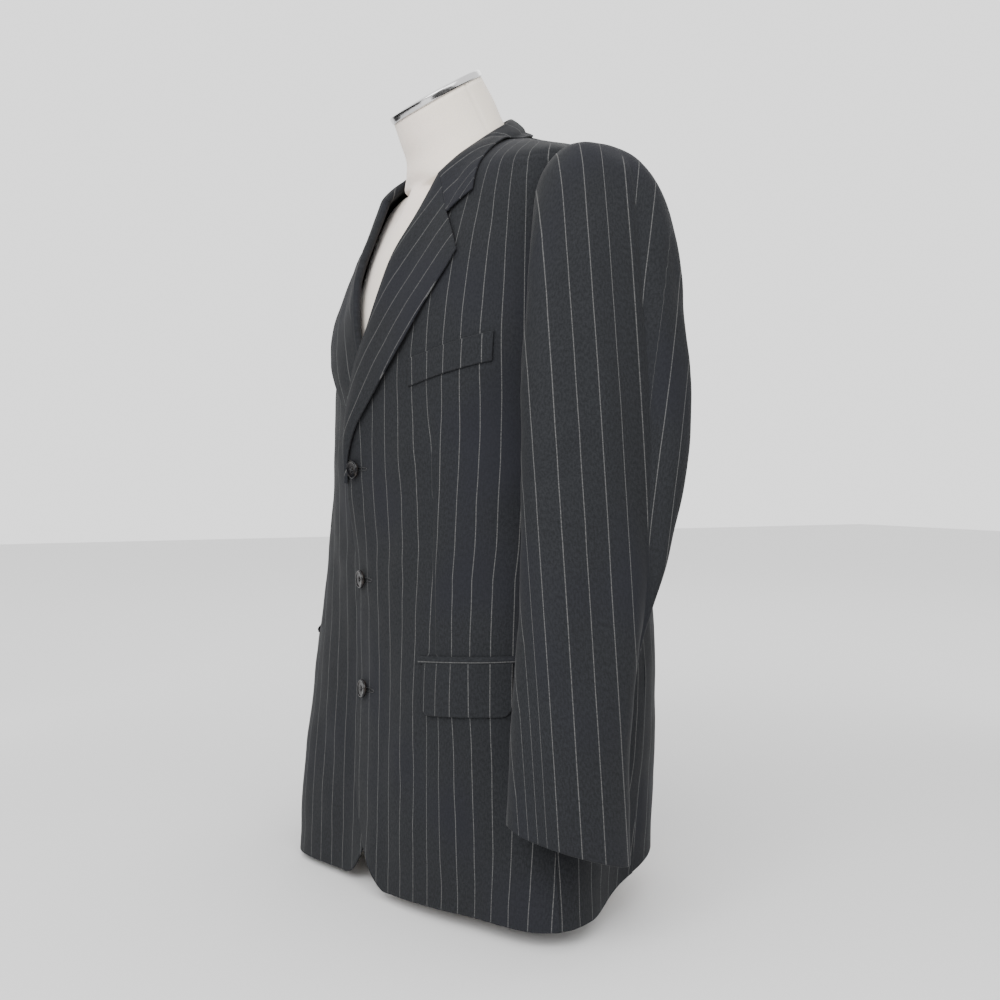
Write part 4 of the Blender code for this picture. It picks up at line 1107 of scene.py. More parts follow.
def spread(places, known, values):
    """np.interp that goes on past both ends at their own slopes."""
    found = np.interp(places, known, values)
    low = (values[1] - values[0]) / (known[1] - known[0])
    high = (values[-1] - values[-2]) / (known[-1] - known[-2])
    found += np.minimum(places - known[0], 0.0) * low
    return found + np.maximum(places - known[-1], 0.0) * high


def hang(sheet, across, start, stop):
    """Carries the stripes' places row by row from start to stop, straight down the surface."""
    arc, out, tangent = sheet.lengths(1), sheet.out(), sheet.tangent()
    step = 1 if stop > start else -1
    down = np.array((0.0, 0.0, -1.0))
    for row in range(start + step, stop + step, step):
        last = row - step
        back = sheet.points[last] - sheet.points[row]
        normal = out[row] * 0.5 + out[last] * 0.5
        way = down + normal * normal[:, 2:]
        aside = np.cross(normal, way)
        aside /= np.maximum(np.linalg.norm(aside, axis=1, keepdims=True), 1e-9)
        lean = (tangent[last] * aside).sum(axis=1)
        lean = np.where(np.abs(lean) < 0.3, np.copysign(0.3, lean), lean)
        moved = -(back * aside).sum(axis=1) / lean
        across[row] = spread(arc[last] + moved, arc[last], across[last])
    return across


def take_dart(sheet, across, height):
    """The dart takes up cloth: past it the stripes have moved on, and no stripe shows in it."""
    levels = [row["height"] for row in DART_TAKES]
    behind = np.interp(height, levels, [row["behind"] for row in DART_TAKES])
    before = np.interp(height, levels, [row["before"] for row in DART_TAKES])
    aside = across - DART["across"]
    sewn = ease((height - DART["low"]) / 0.002) * ease((DART["top"] - height) / 0.04)
    near = bells(aside, DART_HALF) * sewn
    sheet.plain = np.maximum(sheet.plain, near)
    sheet.points -= sheet.out() * (near * DART_DEPTH)[..., None]
    past = ease(aside / DART_SPREAD + 0.5) * (1.0 - sewn) + ease(aside / DART_STEP + 0.5) * sewn
    before = before * ease((across - DART["start"]) / (DART["across"] - DART["start"]))
    return across + behind * past - before * (1.0 - past)


def front_piece(side):
    last = STATIONS[-1]

    def point(u, v):
        if v < 1.0:
            return front_point(side, u, v)
        row = NECK_ROWS[int(v) - 1]
        start = read(CORES[side], "spot", last, "station") - (len(LAPEL) - 1.0) + row["further"]
        inner, outer = roll_bearing(start), armhole_angle(1.0) - SEAM_TURN
        return neck_point(side, inner + (outer - inner) * u, row, smooth(u / 0.6))

    sheet = Sheet(shares(26, 1.35), PANEL_ROWS, point, side)
    across = sheet.lengths(1, level=True) + side * (sheet.points[:, :1, 0] - CENTRE_X)
    height = sheet.points[..., 2].copy()
    start = int(np.argmin(np.abs(height.mean(axis=1) - HANG_FROM)))
    across = hang(sheet, across, start, len(across) - 1)
    press(sheet, across, height, FRONT_FOLDS)
    rumple(sheet, across, height)
    across = take_dart(sheet, across, height)
    return cloth_piece(
        f"wool_front_{WORD[side]}", sheet, across, height,
        f"front_{WORD[side]}",
    )


def side_piece(side):
    def point(u, station):
        angle = SIDE_FRONT_ANGLE + SEAM_TURN + (SIDE_BACK_ANGLE - SIDE_FRONT_ANGLE - 2 * SEAM_TURN) * u
        floor, low = armhole_floor(SIDE_FRONT_ANGLE), 0.490
        if station > low:
            station = low + (station - low) * (armhole_floor(angle) - low) / (floor - low)
        return body(side * angle, station)

    floor = armhole_floor(SIDE_FRONT_ANGLE)
    rows = finer([h for h in STATIONS if h <= floor], 2)
    sheet = Sheet(shares(12), rows, point, side)
    across = sheet.lengths(1, level=True)
    height = sheet.points[..., 2].copy()
    press(sheet, across, height, SIDE_FOLDS)
    rumple(sheet, across + 0.3, height)
    return cloth_piece(
        f"wool_side_{WORD[side]}", sheet, across + SHIFT["side"], height,
        f"side_{WORD[side]}",
    )


def back_piece(side):
    def point(u, v):
        if v < 1.0:
            outer = seam_angle(v, back=True) + SEAM_TURN
            return body(side * (outer + (180.0 - SEAM_TURN - outer) * u), v)
        outer = armhole_angle(1.0) + SEAM_TURN
        here = neck_point(side, outer + (180.0 - outer) * u, NECK_ROWS[int(v) - 1])
        here.x = side * max(side * here.x, SEAM_GAP / 2.0)
        return here

    sheet = Sheet(shares(18), PANEL_ROWS, point, side)
    arc = sheet.lengths(1, level=True)
    height = sheet.points[..., 2].copy()
    start = int(np.argmin(np.abs(height.mean(axis=1) - HANG_FROM)))
    across = -hang(sheet, arc - arc[:, -1:], start, len(arc) - 1)
    press(sheet, across, height, BACK_FOLDS)
    rumple(sheet, across + 0.6, height)
    return cloth_piece(
        f"wool_back_{WORD[side]}", sheet, SHIFT["back"] - across, height,
        f"back_{WORD[side]}",
    )


# ---------------------------------------------------------------- lapels and collar
FOLD_PLACES = (-3.0, -2.0, -1.5, -1.0, -0.5, 0.0, 0.13, 0.27, 0.40, NOTCH_ACROSS, 0.69, 0.85, 1.0)
FOLD_PLAIN = 0.10        # no stripe shows on the right lapel up to here, from its fold
COLLAR_SLANT = 66.0      # the collar's stripes lie this far off square at its ends
COLLAR_SQUARE = 0.165    # and turn square to it over this length of the fold


def lapel_piece(side, tree):
    def point(place, v):
        low = 0.0
        if side < 0:
            low = RIGHT_START + (RIGHT_START_EDGE - RIGHT_START) * max(place, 0.0)
        high = gorge_spot(place) - GORGE_GAP
        return lapel_point(side, place, low + (high - low) * v, tree)

    sheet = Sheet(finer(FOLD_PLACES, 2), shares(26), point, side, spacing=0.0026)
    foot, tip = row_vector(LAPEL, "edge", 1.0), row_vector(LAPEL, "edge", float(LAPEL_TIP))
    grain = (tip - foot).normalized()
    aside = fold_frame(LAPEL, 4.0)[2]
    aside = (aside - grain * aside.dot(grain)).normalized()
    local = (sheet.points * [side, 1.0, 1.0]) - np.array(tip)
    across, along = local @ np.array(aside), local @ np.array(grain)
    rumple(sheet, across + 0.2 * side, along, 0.5)
    if side < 0:
        sheet.plain = sheet.plain + ease((FOLD_PLAIN - sheet.u) / 0.05)
    return cloth_piece(
        f"wool_lapel_{WORD[side]}", sheet, across + SHIFT["lapel"], along,
        f"lapel_{WORD[side]}", offset=0.0,
    )


def collar_piece(tree):
    last = len(COLLAR) - 1.0
    start = fold_point(COLLAR, 0.0, 1.0)

    def front_end(place):
        meeting = fold_point(LAPEL, gorge_spot(min(place, NOTCH_ACROSS)), min(place, NOTCH_ACROSS))
        if place <= NOTCH_ACROSS:
            return meeting
        return meeting.lerp(start, (place - NOTCH_ACROSS) / (1.0 - NOTCH_ACROSS))

    def point(place, v):
        side = 1.0 if v >= 0.0 else -1.0
        spot = last * (1.0 - abs(v))
        here = fold_point(COLLAR, spot, place)
        bend = front_end(place) - fold_point(COLLAR, 0.0, place)
        here = mirrored(here + bend * smooth(1.0 - spot / 1.6), side)
        if place <= 0.0:
            return here
        out = fold_frame(COLLAR, spot)[3]
        if spot < 1.0:
            out = out.lerp(fold_frame(LAPEL, gorge_spot(place))[3], 1.0 - spot).normalized()
        return laid(tree, here, mirrored(out, side), top_lift(place))

    rows = [-1.0 + i / 20.0 for i in range(41)]
    sheet = Sheet(finer(FOLD_PLACES, 2), rows, lambda u, v: point(u, -v), spacing=0.0026)
    roll = int(np.argmin(np.abs(sheet.u)))
    width = sheet.lengths(1)
    width = width - width[:, roll:roll + 1]
    step = np.linalg.norm(np.diff(sheet.points[:, roll], axis=0), axis=1)
    length = np.concatenate([[0.0], np.cumsum(step)])
    length = np.abs(length - length[-1] / 2.0)
    slant = np.radians(COLLAR_SLANT) * ease(length / COLLAR_SQUARE)
    order = np.argsort(length)
    moved = np.zeros_like(length)
    gaps = np.diff(length[order])
    moved[order[1:]] = np.cumsum(gaps * np.cos(slant[order][1:]))
    across = moved[:, None] + width * np.sin(slant)[:, None]
    along = width * np.cos(slant)[:, None] - (length - moved)[:, None]
    rumple(sheet, length[:, None] + width * 0.0, width + 0.4, 0.5)
    return cloth_piece(
        "wool_collar", sheet, across + SHIFT["collar"], along,
        "collar", offset=0.0,
    )


# ---------------------------------------------------------------- sleeves
SLEEVE_GAP_ANGLE = 0.12
SLEEVE_LINES = finer([-v for v in reversed(SLEEVE_ROWS)], 2)
OUTER_FACE = 63.0        # way that the sleeve's outer face looks, from the front
FACE_END = 0.35          # cloth that looks less than this much that way isn't part of it
FULL_FOLD = 0.013        # a long fold this deep laps over with its full strength
SLEEVE_ROW = 0.55        # the stripes keep their even spacing in this row
FRONT_SLANT = 0.06       # slant of the stripes before and behind the long fold
REAR_SLANT = -0.13
FOLD_HIDES = 0.010       # cloth that runs in under the long fold there
FOLD_LAP = 0.009         # the front layer reaches this far back over the fold
FOLD_RISE = 0.0026
UNDER_SLANT = 0.40       # slant of the under sleeve's stripes where it comes forward
# a is the distance from the long fold, less than 0 in front of it, b the distance down.
SLEEVE_FOLDS = table(
    FOLD,
    (-0.075, 0.060, -0.060, 0.330, 0.010, -0.0022, 0.020),
    (-0.045, 0.100, -0.035, 0.420, -0.006, 0.0018, 0.018),
    (-0.110, 0.120, -0.095, 0.360, 0.006, 0.0020, 0.020),
    (-0.120, 0.360, -0.060, 0.330, 0.006, 0.0016, 0.013),
    (-0.130, 0.395, -0.070, 0.380, -0.004, -0.0014, 0.012),
    (-0.125, 0.430, -0.060, 0.440, 0.004, 0.0012, 0.014),
    (-0.060, 0.420, -0.075, 0.620, 0.008, -0.0018, 0.022),
    (-0.105, 0.470, -0.120, 0.640, 0.006, 0.0014, 0.020),
    (0.030, 0.060, 0.022, 0.300, 0.006, 0.0018, 0.016),
    (0.055, 0.120, 0.040, 0.360, -0.006, -0.0018, 0.016),
    (-0.020, 0.020, -0.010, 0.090, 0.002, -0.0016, 0.014),
)
UNDER_FOLDS = table(
    FOLD,
    (0.040, 0.060, 0.060, 0.260, 0.006, 0.0020, 0.018),
    (0.110, 0.060, 0.095, 0.240, -0.006, -0.0022, 0.018),
    (0.030, 0.270, 0.110, 0.300, 0.006, 0.0018, 0.012),
    (0.035, 0.310, 0.120, 0.330, -0.004, -0.0016, 0.011),
    (0.060, 0.400, 0.070, 0.580, 0.006, 0.0014, 0.018),
)


def sleeve_seam(v):
    return read(SLEEVE, "seam_angle", sleeve_spot(v))


def hung(here, side, v):
    """On its own side; the right sleeve hangs further back."""
    back = RIGHT_SLEEVE_BACK * smooth(v * 1.2) if side < 0 else 0.0
    return Vector((side * here.x, here.y + back, here.z))


def lap_over(sheet, aside, strength):
    """The cloth in front of the long fold hangs over the cloth behind it. It is shifted back at the
    fold, raised in front of it and drawn in behind it."""
    shift = FOLD_LAP * bells(aside + 0.006, 0.009)
    rise = FOLD_RISE * bells(aside + 0.012, 0.011)
    rise -= 0.6 * FOLD_RISE * bells(aside - 0.007, 0.008)
    out, back = sheet.out(), sheet.tangent()
    sheet.points += back * (shift * strength)[..., None] + out * (rise * strength)[..., None]


def by_face(sheet, side, across, row, slant):
    """Stripes that run straight over the sleeve's outer face from their places in one row; where
    the cloth turns away from that face they go on by its own width."""
    turn = math.radians(OUTER_FACE)
    place = side * sheet.points[..., 0] * math.cos(turn) + sheet.points[..., 1] * math.sin(turn)
    place = place + slant * sheet.points[..., 2]
    out = sheet.out()
    facing = side * out[row, :, 0] * math.sin(turn) - out[row, :, 1] * math.cos(turn)
    seen = np.flatnonzero(facing > FACE_END)
    low, high = seen[0], seen[-1]
    part = slice(low, high + 1)
    order = np.argsort(place[row, part])
    found = spread(place, place[row, part][order], across[row, part][order])
    arc = sheet.lengths(1)
    found[:, :low] = found[:, low:low + 1] + arc[:, :low] - arc[:, low:low + 1]
    found[:, high + 1:] = found[:, high:high + 1] + arc[:, high + 1:] - arc[:, high:high + 1]
    return found


def top_sleeve(side):
    def point(u, v):
        """u is 0 at the front seam, 0.5 to 0.75 across the long fold and 1 at the back seam."""
        start, end = SLEEVE_FRONT_SEAM - SLEEVE_GAP_ANGLE, sleeve_seam(v) + SLEEVE_GAP_ANGLE
        fold = read(SLEEVE, "fold_angle", sleeve_spot(v))
        fold = max(fold, end + 1.5 * FOLD_HALF_ANGLE)
        near, far = fold + FOLD_HALF_ANGLE * 1.2, fold - FOLD_HALF_ANGLE * 1.2
        if u <= 0.5:
            turn = start + (near - start) * u / 0.5
        elif u <= 0.75:
            turn = near + (far - near) * (u - 0.5) / 0.25
        else:
            turn = far + (end - far) * (u - 0.75) / 0.25
        return hung(sleeve_point(turn, v), side, v)

    columns = [0.5 * i / 18 for i in range(18)] + [0.5 + 0.25 * i / 26 for i in range(26)]
    columns += [0.75 + 0.25 * i / 8 for i in range(9)]
    sheet = Sheet(columns, SLEEVE_LINES, lambda u, v: point(u, -v), side)
    arc = sheet.lengths(1)
    fold = int(np.argmin(np.abs(sheet.u - 0.625)))
    aside = arc - arc[:, fold:fold + 1]
    rise = sheet.lengths(0)
    down = (rise[-1:] - rise)[:, fold:fold + 1] + aside * 0.0
    deep = [row["fold"] / FULL_FOLD for row in SLEEVE]
    strength = np.interp(sleeve_spot(-sheet.v), range(len(SLEEVE)), deep)[:, None]
    press(sheet, aside, down, SLEEVE_FOLDS)
    rumple(sheet, aside + 0.1 * side, down)
    lap_over(sheet, aside, np.clip(strength, 0.0, 1.0))
    row = int(np.argmin(np.abs(sheet.v + SLEEVE_ROW)))
    front = by_face(sheet, side, aside + 0.0, row, FRONT_SLANT)
    rear = by_face(sheet, side, aside + FOLD_HIDES, row, REAR_SLANT)
    across = front + (rear - front) * ease((aside - 0.0005) / 0.003)
    sheet.plain = bells(aside - 0.002, 0.0022) * np.clip(strength * 3.0, 0.0, 1.0)
    return cloth_piece(
        f"wool_sleeve_top_{WORD[side]}", sheet, across, -down,
        f"sleeve_top_{WORD[side]}",
    )


def under_sleeve(side):
    def point(u, v):
        start, end = sleeve_seam(v) + 360.0 - SLEEVE_GAP_ANGLE, SLEEVE_FRONT_SEAM + SLEEVE_GAP_ANGLE
        return hung(sleeve_point(start + (end - start) * u, v), side, v)

    sheet = Sheet(shares(18), SLEEVE_LINES, lambda u, v: point(u, -v), side)
    arc = sheet.lengths(1)
    rise = sheet.lengths(0)
    down = rise[-1:] - rise
    press(sheet, arc, down, UNDER_FOLDS)
    rumple(sheet, arc + 0.5, down)
    slanted = UNDER_SLANT * np.clip(down - 0.30, 0.0, 0.22)
    return cloth_piece(
        f"wool_sleeve_under_{WORD[side]}", sheet, arc + slanted + SHIFT["under"], -down,
        f"sleeve_under_{WORD[side]}",
    )


# ---------------------------------------------------------------- pockets
AHEAD = 0.004            # the pieces are laid on a panel from this far above the body
FLAP_HANG = 0.0012       # a flap's lower edge stands out this much further than its top
FLAP_WAVE = 0.0006
JET_PUFF = 0.0012
WELT_SHIFT = -0.0025     # the welt's stripes fall this far beside the front's
JET_STRIPE = PITCH / 2 - 0.0018  # brings a stripe to the lip's lower half


def stripes_on(panel):
    """A look-up of the panel's map: how far across the stripes the cloth under a piece lies."""
    mesh = panel.data
    seen = {}
    for loop in mesh.loops:
        seen.setdefault(loop.vertex_index, loop.index)
    uv = mesh.uv_layers["cloth"].uv
    tree = KDTree(len(seen))
    for vertex in seen:
        tree.insert(mesh.vertices[vertex].co, vertex)
    tree.balance()

    def look_up(sheet):
        """A smooth fit through the panel's values under the whole small piece."""
        places, values = [], []
        for point in sheet.points[::2, ::2].reshape(-1, 3):
            vertex = tree.find(Vector(point))[1]
            places.append(mesh.vertices[vertex].co[:])
            values.append(uv[seen[vertex]].vector.x)
        middle = sheet.points.reshape(-1, 3).mean(axis=0)

        def terms(points):
            x, y, z = np.moveaxis(np.asarray(points) - middle, -1, 0) * 10.0
            return np.stack([x * 0.0 + 1.0, x, y, z, x * x, x * y, x * z, y * z, z * z, y * y], -1)

        fit = np.linalg.lstsq(terms(places), np.array(values), rcond=1e-4)[0]
        return terms(sheet.points) @ fit

    return look_up


def laid_sheet(columns, rows, point, side, tree, lift):
    """A sheet over a panel, laid on it; lift(u, v) is how far above the panel it lies."""
    def over(u, v):
        here, out = point(u, v)
        return laid(tree, here, out, lift(u, v))

    return Sheet(columns, rows, over, side, spacing=0.0022)


def over_body(angle, station):
    """A point above the body and the way out there."""
    here = body(angle, station, AHEAD)
    return here, (here - body(angle, station)).normalized()


def flap_piece(side, tree, stripes):
    def point(u, v):
        angle = FLAP_START + (FLAP_END - FLAP_START) * u + POCKET_BACK[side]
        length = (FLAP_END - FLAP_START) * FLAP_DEGREE
        near_end = min(u, 1.0 - u) * length
        cut = 0.0
        if near_end < FLAP_CORNER:
            share = 1.0 - near_end / FLAP_CORNER
            cut = FLAP_CORNER * (1.0 - math.sqrt(max(1.0 - share * share, 0.0)))
        height = FLAP_TOP + FLAP_RISE * u - (FLAP_DROP - cut) * (1.0 - v)
        return over_body(side * angle, height)

    def lift(u, v):
        return LAYER_GAP + (1.0 - v) * (FLAP_HANG + FLAP_WAVE * math.sin(math.pi * u * 2.0))

    ends = [0.0, 0.01, 0.02, 0.04, 0.07]
    columns = ends + [0.07 + 0.86 * i / 18 for i in range(1, 18)] + [1.0 - e for e in reversed(ends)]
    sheet = laid_sheet(columns, shares(10), point, side, tree, lift)
    across = stripes(sheet)
    height = sheet.points[..., 2].copy()
    return cloth_piece(
        f"wool_flap_{WORD[side]}", sheet, across, height, f"flap_{WORD[side]}",
        wall=0.0016,
    )


def jet_piece(side, tree):
    """The piped lip above a flap, cut along the stripes, so that one runs its whole length."""
    def point(u, v):
        angle = FLAP_START - JET_PAST + (FLAP_END - FLAP_START + 2.0 * JET_PAST) * u
        rise = FLAP_RISE * (angle - FLAP_START) / (FLAP_END - FLAP_START)
        return over_body(side * (angle + POCKET_BACK[side]), FLAP_TOP + rise + 0.0006 + JET_HEIGHT * v)

    def lift(u, v):
        return LAYER_GAP + JET_PUFF * math.sin(math.pi * v)

    sheet = laid_sheet(shares(20), shares(6), point, side, tree, lift)
    rise = sheet.lengths(0)
    return cloth_piece(
        f"wool_jet_{WORD[side]}", sheet, rise + JET_STRIPE, sheet.lengths(1),
        f"jet_{WORD[side]}", wall=0.0014,
    )


def welt_piece(tree, stripes):
    def point(u, v):
        x = WELT["inner_x"] + (WELT["outer_x"] - WELT["inner_x"]) * u
        top = WELT["inner_z"] + (WELT["outer_z"] - WELT["inner_z"]) * u
        height = top - WELT["drop"] * (1.0 - v)
        here = chest(x, height, AHEAD)
        return here, (here - chest(x, height, 0.0)).normalized()

    sheet = laid_sheet(shares(10), shares(4), point, 1, tree, lambda u, v: LAYER_GAP + 0.0005 * v)
    across = stripes(sheet) + WELT_SHIFT
    return cloth_piece(
        "wool_chest_welt", sheet, across, sheet.points[..., 2].copy(), "chest_welt",
        wall=0.0014,
    )


# ---------------------------------------------------------------- buttons
def lathe(name, profile, segments, finish, node):
    """A turned shape from (radius, height) pairs, from the axis at the bottom to the axis on top."""
    bm = bmesh.new()
    rings = []
    for far, high in profile:
        if far == 0.0:
            rings.append([bm.verts.new((0.0, 0.0, high))])
            continue
        turns = [math.tau * i / segments for i in range(segments)]
        rings.append([bm.verts.new((far * math.cos(t), far * math.sin(t), high)) for t in turns])
    for lower, upper in zip(rings, rings[1:]):
        for i in range(segments):
            j = (i + 1) % segments
            corners = [lower[i % len(lower)], lower[j % len(lower)]]
            corners += [upper[j % len(upper)], upper[i % len(upper)]]
            bm.faces.new(list(dict.fromkeys(corners)))
    bmesh.ops.recalc_face_normals(bm, faces=bm.faces)
    return piece_object(name, as_mesh(name, bm), finish, node)


def arc_profile(points, steps=4):
    """A smooth profile through a few (radius, height) pairs."""
    places = np.linspace(0.0, len(points) - 1.0, (len(points) - 1) * steps + 1)
    held = through(np.array(points, dtype=float), places)
    held[0], held[-1] = points[0], points[-1]
    return [(max(float(far), 0.0), float(high)) for far, high in held]


HOLE_OUT, HOLE_RADIUS, THREAD_RADIUS = 0.0024, 0.0011, 0.00042


def button_piece(number, height, tree):
    radius, face = BUTTON_RADIUS, 0.0044
    rim = [
        (radius * 0.72, 0.0014), (radius * 0.93, 0.0021), (radius, 0.0034), (radius * 0.94, 0.0049),
        (radius * 0.84, 0.0051), (radius * 0.72, 0.0046), (radius * 0.50, face),
    ]
    profile = [(0.0, 0.0), (0.0015, 0.0), (0.0015, 0.0014)] + arc_profile(rim) + [(0.0, face)]
    made = lathe(f"horn_button_{number}", profile, 64, HORN, f"button_{number}")
    hit, ahead = tree.ray_cast(Vector((CENTRE_X, -0.3, height)), Vector((0.0, 1.0, 0.0)))[:2]
    foot = hit + ahead * 0.0006
    spin = Matrix.Rotation(math.radians(18.0 * number), 4, "Z")
    made.matrix_world = (
        Matrix.Translation(foot) @ ahead.to_track_quat("Z", "Y").to_matrix().to_4x4() @ spin
    )
    bm = bmesh.new()
    for i in range(4):
        turn = math.radians(45.0 + 90.0 * i)
        middle = Vector((HOLE_OUT * math.cos(turn), HOLE_OUT * math.sin(turn), 0.0114))
        bmesh.ops.create_cone(bm, cap_ends=True, segments=20, radius1=HOLE_RADIUS, radius2=HOLE_RADIUS,
                              depth=0.02, matrix=Matrix.Translation(middle))
    cutter = placed("holes", as_mesh("holes", bm))
    cutter.matrix_world = made.matrix_world
    cut = made.modifiers.new("Holes", "BOOLEAN")
    cut.object = cutter
    cut.operation = "DIFFERENCE"
    bpy.context.view_layer.update()
    graph = bpy.context.evaluated_depsgraph_get()
    made.data = bpy.data.meshes.new_from_object(made.evaluated_get(graph))
    made.modifiers.clear()
    made.data.materials.clear()
    made.data.materials.append(HORN)
    bpy.data.objects.remove(cutter)
    made.data.set_sharp_from_angle(angle=math.radians(50.0))
    for i in range(2):
        stitch(f"button_stitch_{number}_{i + 1}", made, 45.0 + 90.0 * i, face + 0.0002 * (i + 1))
    shank = arc_profile([(0.0016, 0.0), (0.0013, 0.0005), (0.0017, 0.0012)])
    profile = [(0.0, -0.0006)] + [(far + 0.0004, high - 0.0004) for far, high in shank] + [(0.0, 0.0010)]
    wrap = lathe(f"button_shank_{number}", profile, 24, THREAD, None)
    wrap.matrix_world = made.matrix_world
    return made


def thread_line(name, points, radius, finish, closed=False):
    """A round thread along some points."""
    curve = bpy.data.curves.new(name, "CURVE")
    curve.dimensions = "3D"
    curve.bevel_depth = radius
    curve.bevel_resolution = 3
    curve.use_fill_caps = not closed
    line = curve.splines.new("POLY")
    line.points.add(len(points) - 1)
    for spot, place in zip(line.points, points):
        spot.co = (*place, 1.0)
    line.use_cyclic_u = closed
    made = placed(name, curve)
    curve.materials.append(finish)
    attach(made, "root")
    return made


def stitch(name, button, turn, high):
    """Thread from one hole of a button to the opposite one."""
    cosine, sine = math.cos(math.radians(turn)), math.sin(math.radians(turn))
    points = []
    for k in range(9):
        share = -1.0 + k / 4.0
        drop = 0.0020 * max(abs(share) - 0.80, 0.0) / 0.20
        out = HOLE_OUT * max(min(share / 0.86, 1.0), -1.0)
        up = high + 0.0004 * (1.0 - share * share) - drop
        points.append((out * cosine, out * sine, up))
    made = thread_line(name, points, THREAD_RADIUS, THREAD)
    made.matrix_world = button.matrix_world


BUTTONHOLE_REACH = 0.0225  # from the button's line towards the side
BUTTONHOLE_HALF = 0.0016
BUTTONHOLE_STEPS = 56
BUTTONHOLE_THREAD = 0.0006


def buttonhole(number, height, tree):
    """The worked edge of a buttonhole: a narrow loop of silk on the left front."""
    path = []
    for k in range(BUTTONHOLE_STEPS):
        turn = math.tau * k / BUTTONHOLE_STEPS
        x = CENTRE_X - 0.002 + BUTTONHOLE_REACH * (0.5 + 0.5 * math.cos(turn))
        z = height + BUTTONHOLE_HALF * math.copysign(abs(math.sin(turn)) ** 0.5, math.sin(turn))
        hit, out = tree.ray_cast(Vector((x, -0.3, z)), Vector((0.0, 1.0, 0.0)))[:2]
        path.append(hit + out * 0.0002)
    thread_line(f"buttonhole_{number}", path, BUTTONHOLE_THREAD, BUTTONHOLE, closed=True)


# ---------------------------------------------------------------- dress form
FORM_SEAMS = (100.0, 180.0, 260.0)
SEAM_HALF_ANGLE = 1.3
SEAM_DEPTH = 0.0011
FORM_SEGMENTS = 144


def oval(angle, height, half_width, half_depth, middle_y, tilt=0.0):
    """A point of an oval ring, whose front is tilted down."""
    turn, lean = math.radians(angle), math.radians(tilt)
    deep = -half_depth * math.cos(turn)
    return half_width * math.sin(turn), middle_y + deep * math.cos(lean), height + deep * math.sin(lean)


def form_rings():
    turns = [360.0 * i / FORM_SEGMENTS for i in range(FORM_SEGMENTS)]
    rings = [[oval(a, **row) for a in turns] for row in FORM_BASE]
    rings += [[tuple(form_torso(a, **row)) for a in turns] for row in FORM_TORSO]
    rings += [[oval(a, **row) for a in turns] for row in FORM_NECK]
    return np.array(rings)


def form_piece():
    """The limbless form, smooth, with the sunk seams of its cover."""
    rings = form_rings()
    upper = through(rings[1:], np.linspace(0.0, len(rings) - 2.0, (len(rings) - 2) * 5 + 1))
    points = np.concatenate([rings[:1], upper])
    turns = np.arange(FORM_SEGMENTS) * 360.0 / FORM_SEGMENTS
    middle = points.mean(axis=1, keepdims=True)
    away = points - middle
    away /= np.linalg.norm(away, axis=2, keepdims=True)
    sunk = sum(bells(turns - seam, SEAM_HALF_ANGLE) for seam in FORM_SEAMS)
    held = ease((points[..., 2] - 0.02) / 0.05)
    points = points - away * (SEAM_DEPTH * sunk * held)[..., None]
    bm = bmesh.new()
    verts = [[bm.verts.new(p) for p in ring] for ring in points]
    for lower, above in zip(verts, verts[1:]):
        for i in range(FORM_SEGMENTS):
            j = (i + 1) % FORM_SEGMENTS
            bm.faces.new((lower[i], lower[j], above[j], above[i]))
    bm.faces.new(list(reversed(verts[0])))
    bm.faces.new(verts[-1])
    bmesh.ops.recalc_face_normals(bm, faces=bm.faces)
    return piece_object("form_cover", as_mesh("form_cover", bm), JERSEY, "dress_form")


def cap_piece():
    """The neck cap: a polished disc with a rolled rim and a low dome."""
    rim = [
        (CAP_RADIUS - 0.0012, 0.0), (CAP_RADIUS - 0.0002, 0.0009), (CAP_RADIUS, 0.0026),
        (CAP_RADIUS, CAP_HEIGHT - 0.0022), (CAP_RADIUS - 0.0005, CAP_HEIGHT - 0.0006),
        (CAP_RADIUS - 0.0024, CAP_HEIGHT), (CAP_RADIUS * 0.9, CAP_HEIGHT + 0.0003),
        (CAP_RADIUS * 0.6, CAP_HEIGHT + 0.0015), (CAP_RADIUS * 0.3, CAP_HEIGHT + 0.0020),
    ]
    profile = [(0.0, 0.0)] + arc_profile(rim, 5) + [(0.0, CAP_HEIGHT + 0.0021)]
    made = lathe("steel_cap", profile, 128, STEEL, "neck_cap")
    top = FORM_NECK[-1]
    tilt = math.radians(CAP_TILT)
    up = Vector((0.0, -math.sin(tilt), math.cos(tilt)))
    foot = Vector((0.0, top["middle_y"], top["height"])) + up * SEAM_GAP
    made.matrix_world = Matrix.Translation(foot) @ Matrix.Rotation(tilt, 4, "X")
    return made


# ---------------------------------------------------------------- studio
CAMERA = {"azimuth": 63.0, "distance": 1.40, "height": 0.430, "aside": 0.022}
FOCAL_PIXELS = 1284.0    # at an image 1000 pixels wide
HORIZON_PIXEL = 473.0
IMAGE_PIXELS = 1000.0
SENSOR = 36.0
FLOOR_SIZE = 14.0
FLOOR_COLOUR = (0.70, 0.70, 0.70, 1.0)
CARD_COLOUR = (0.01, 0.01, 0.01, 1.0)
CARD_AIM, LIGHT_AIM = 0.8, 0.45  # heights above the origin that they face
SKY_STRENGTH = 1.75
LIGHTS = table(
    "name x y z energy size",
    ("key", 2.0, -2.1, 2.2, 105.0, 2.0),
    ("fill", 2.8, -0.3, 1.5, 42.0, 2.2),
    ("back", -1.8, 1.8, 2.6, 14.0, 1.8),
)
# Black cards, unseen by the camera. Those with a flag keep light off the back and the far side,
# the others only darken what the steel mirrors.
CARDS = table(
    "name x y z width height flag",
    ("card_right", 1.58, 0.28, 0.35, 3.0, 1.7, 0),
    ("card_left", -0.14, -1.60, 0.35, 2.0, 1.7, 0),
    ("card_back", 0.50, 0.95, 0.62, 1.5, 1.0, 1),
    ("card_side", -0.80, -0.75, 0.75, 0.9, 0.8, 1),
)


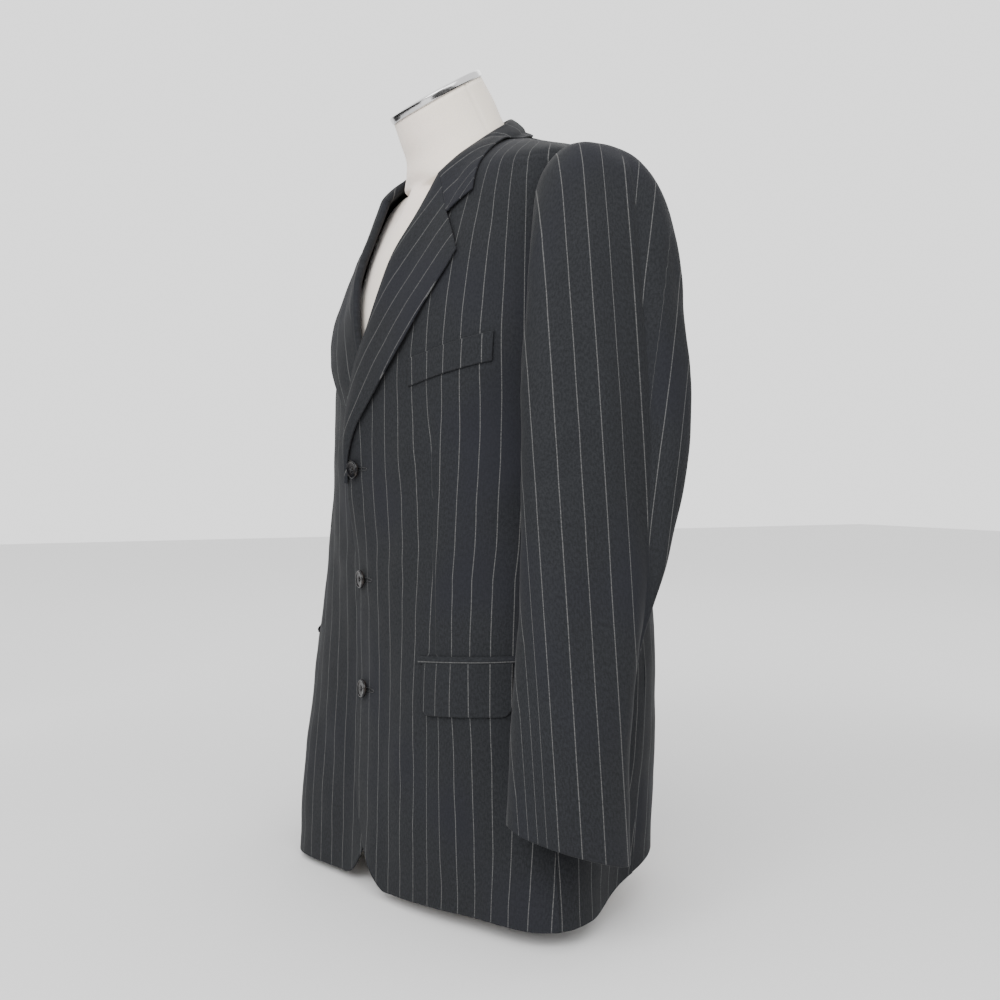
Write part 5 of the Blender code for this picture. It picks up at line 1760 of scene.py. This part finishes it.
def camera():
    """The photo's camera, level, with the picture shifted to bring the horizon to its place."""
    turn = math.radians(CAMERA["azimuth"])
    away = Vector((math.sin(turn), -math.cos(turn), 0.0))
    right = Vector((math.cos(turn), math.sin(turn), 0.0))
    data = bpy.data.cameras.new("photo_view")
    data.sensor_width = SENSOR
    data.lens = FOCAL_PIXELS / IMAGE_PIXELS * SENSOR
    data.shift_y = (HORIZON_PIXEL - IMAGE_PIXELS / 2.0) / IMAGE_PIXELS
    made = placed("photo_view", data)
    made.location = away * CAMERA["distance"] + right * CAMERA["aside"] + Vector((0, 0, CAMERA["height"]))
    made.rotation_euler = (-away).to_track_quat("-Z", "Y").to_euler()
    bpy.context.scene.camera = made


def plane(name, size, finish):
    """A flat piece of the studio."""
    bm = bmesh.new()
    bmesh.ops.create_grid(bm, x_segments=1, y_segments=1, size=0.5)
    made = placed(name, as_mesh(name, bm))
    made.scale = (*size, 1.0)
    made.data.materials.append(finish)
    return made


def flat_finish(name, colour):
    made = Nodes(name)
    made.give(made.shader, Base_Color=colour, Roughness=0.9)
    return made.material


def aimed(place, item, axis, height):
    """Puts an item where its row says, its axis towards a point above the origin."""
    item.location = (place["x"], place["y"], place["z"])
    aim = Vector((0.0, 0.0, height)) - item.location
    item.rotation_euler = aim.to_track_quat(axis, "Y").to_euler()


def studio():
    """Floor, cards, soft lights and an even bright surrounding."""
    plane("floor", (FLOOR_SIZE, FLOOR_SIZE), flat_finish("studio_floor", FLOOR_COLOUR))
    black = flat_finish("black_card", CARD_COLOUR)
    for row in CARDS:
        card = plane(row["name"], (row["width"], row["height"]), black)
        aimed(row, card, "Z", CARD_AIM)
        card.visible_camera = False
        card.visible_diffuse = bool(row["flag"])
        card.visible_shadow = False
    for row in LIGHTS:
        data = bpy.data.lights.new(row["name"], "AREA")
        data.energy = row["energy"]
        data.size = row["size"]
        light = placed(row["name"], data)
        aimed(row, light, "-Z", LIGHT_AIM)
    world = bpy.data.worlds.new("studio")
    world.use_nodes = True
    sky = world.node_tree.nodes["Background"]
    sky.inputs["Color"].default_value = (1.0, 1.0, 1.0, 1.0)
    sky.inputs["Strength"].default_value = SKY_STRENGTH
    bpy.context.scene.world = world


# ---------------------------------------------------------------- the whole
def main():
    camera()
    studio()
    panels = {}
    for side in (1, -1):
        panels[side] = [front_piece(side), back_piece(side)]
        side_piece(side)
        tree = surface(*panels[side])
        lapel_piece(side, tree)
        top_sleeve(side)
        under_sleeve(side)
        stripes = stripes_on(panels[side][0])
        flap_piece(side, tree, stripes)
        jet_piece(side, tree)
        if side > 0:
            welt_piece(tree, stripes)
    collar_piece(surface(*panels[1], *panels[-1]))
    front = surface(panels[1][0])
    for number, height in enumerate(BUTTON_HEIGHTS, start=1):
        button_piece(number, height, front)
        buttonhole(number, height, front)
    form_piece()
    cap_piece()


main()

bpy.context.view_layer.update()
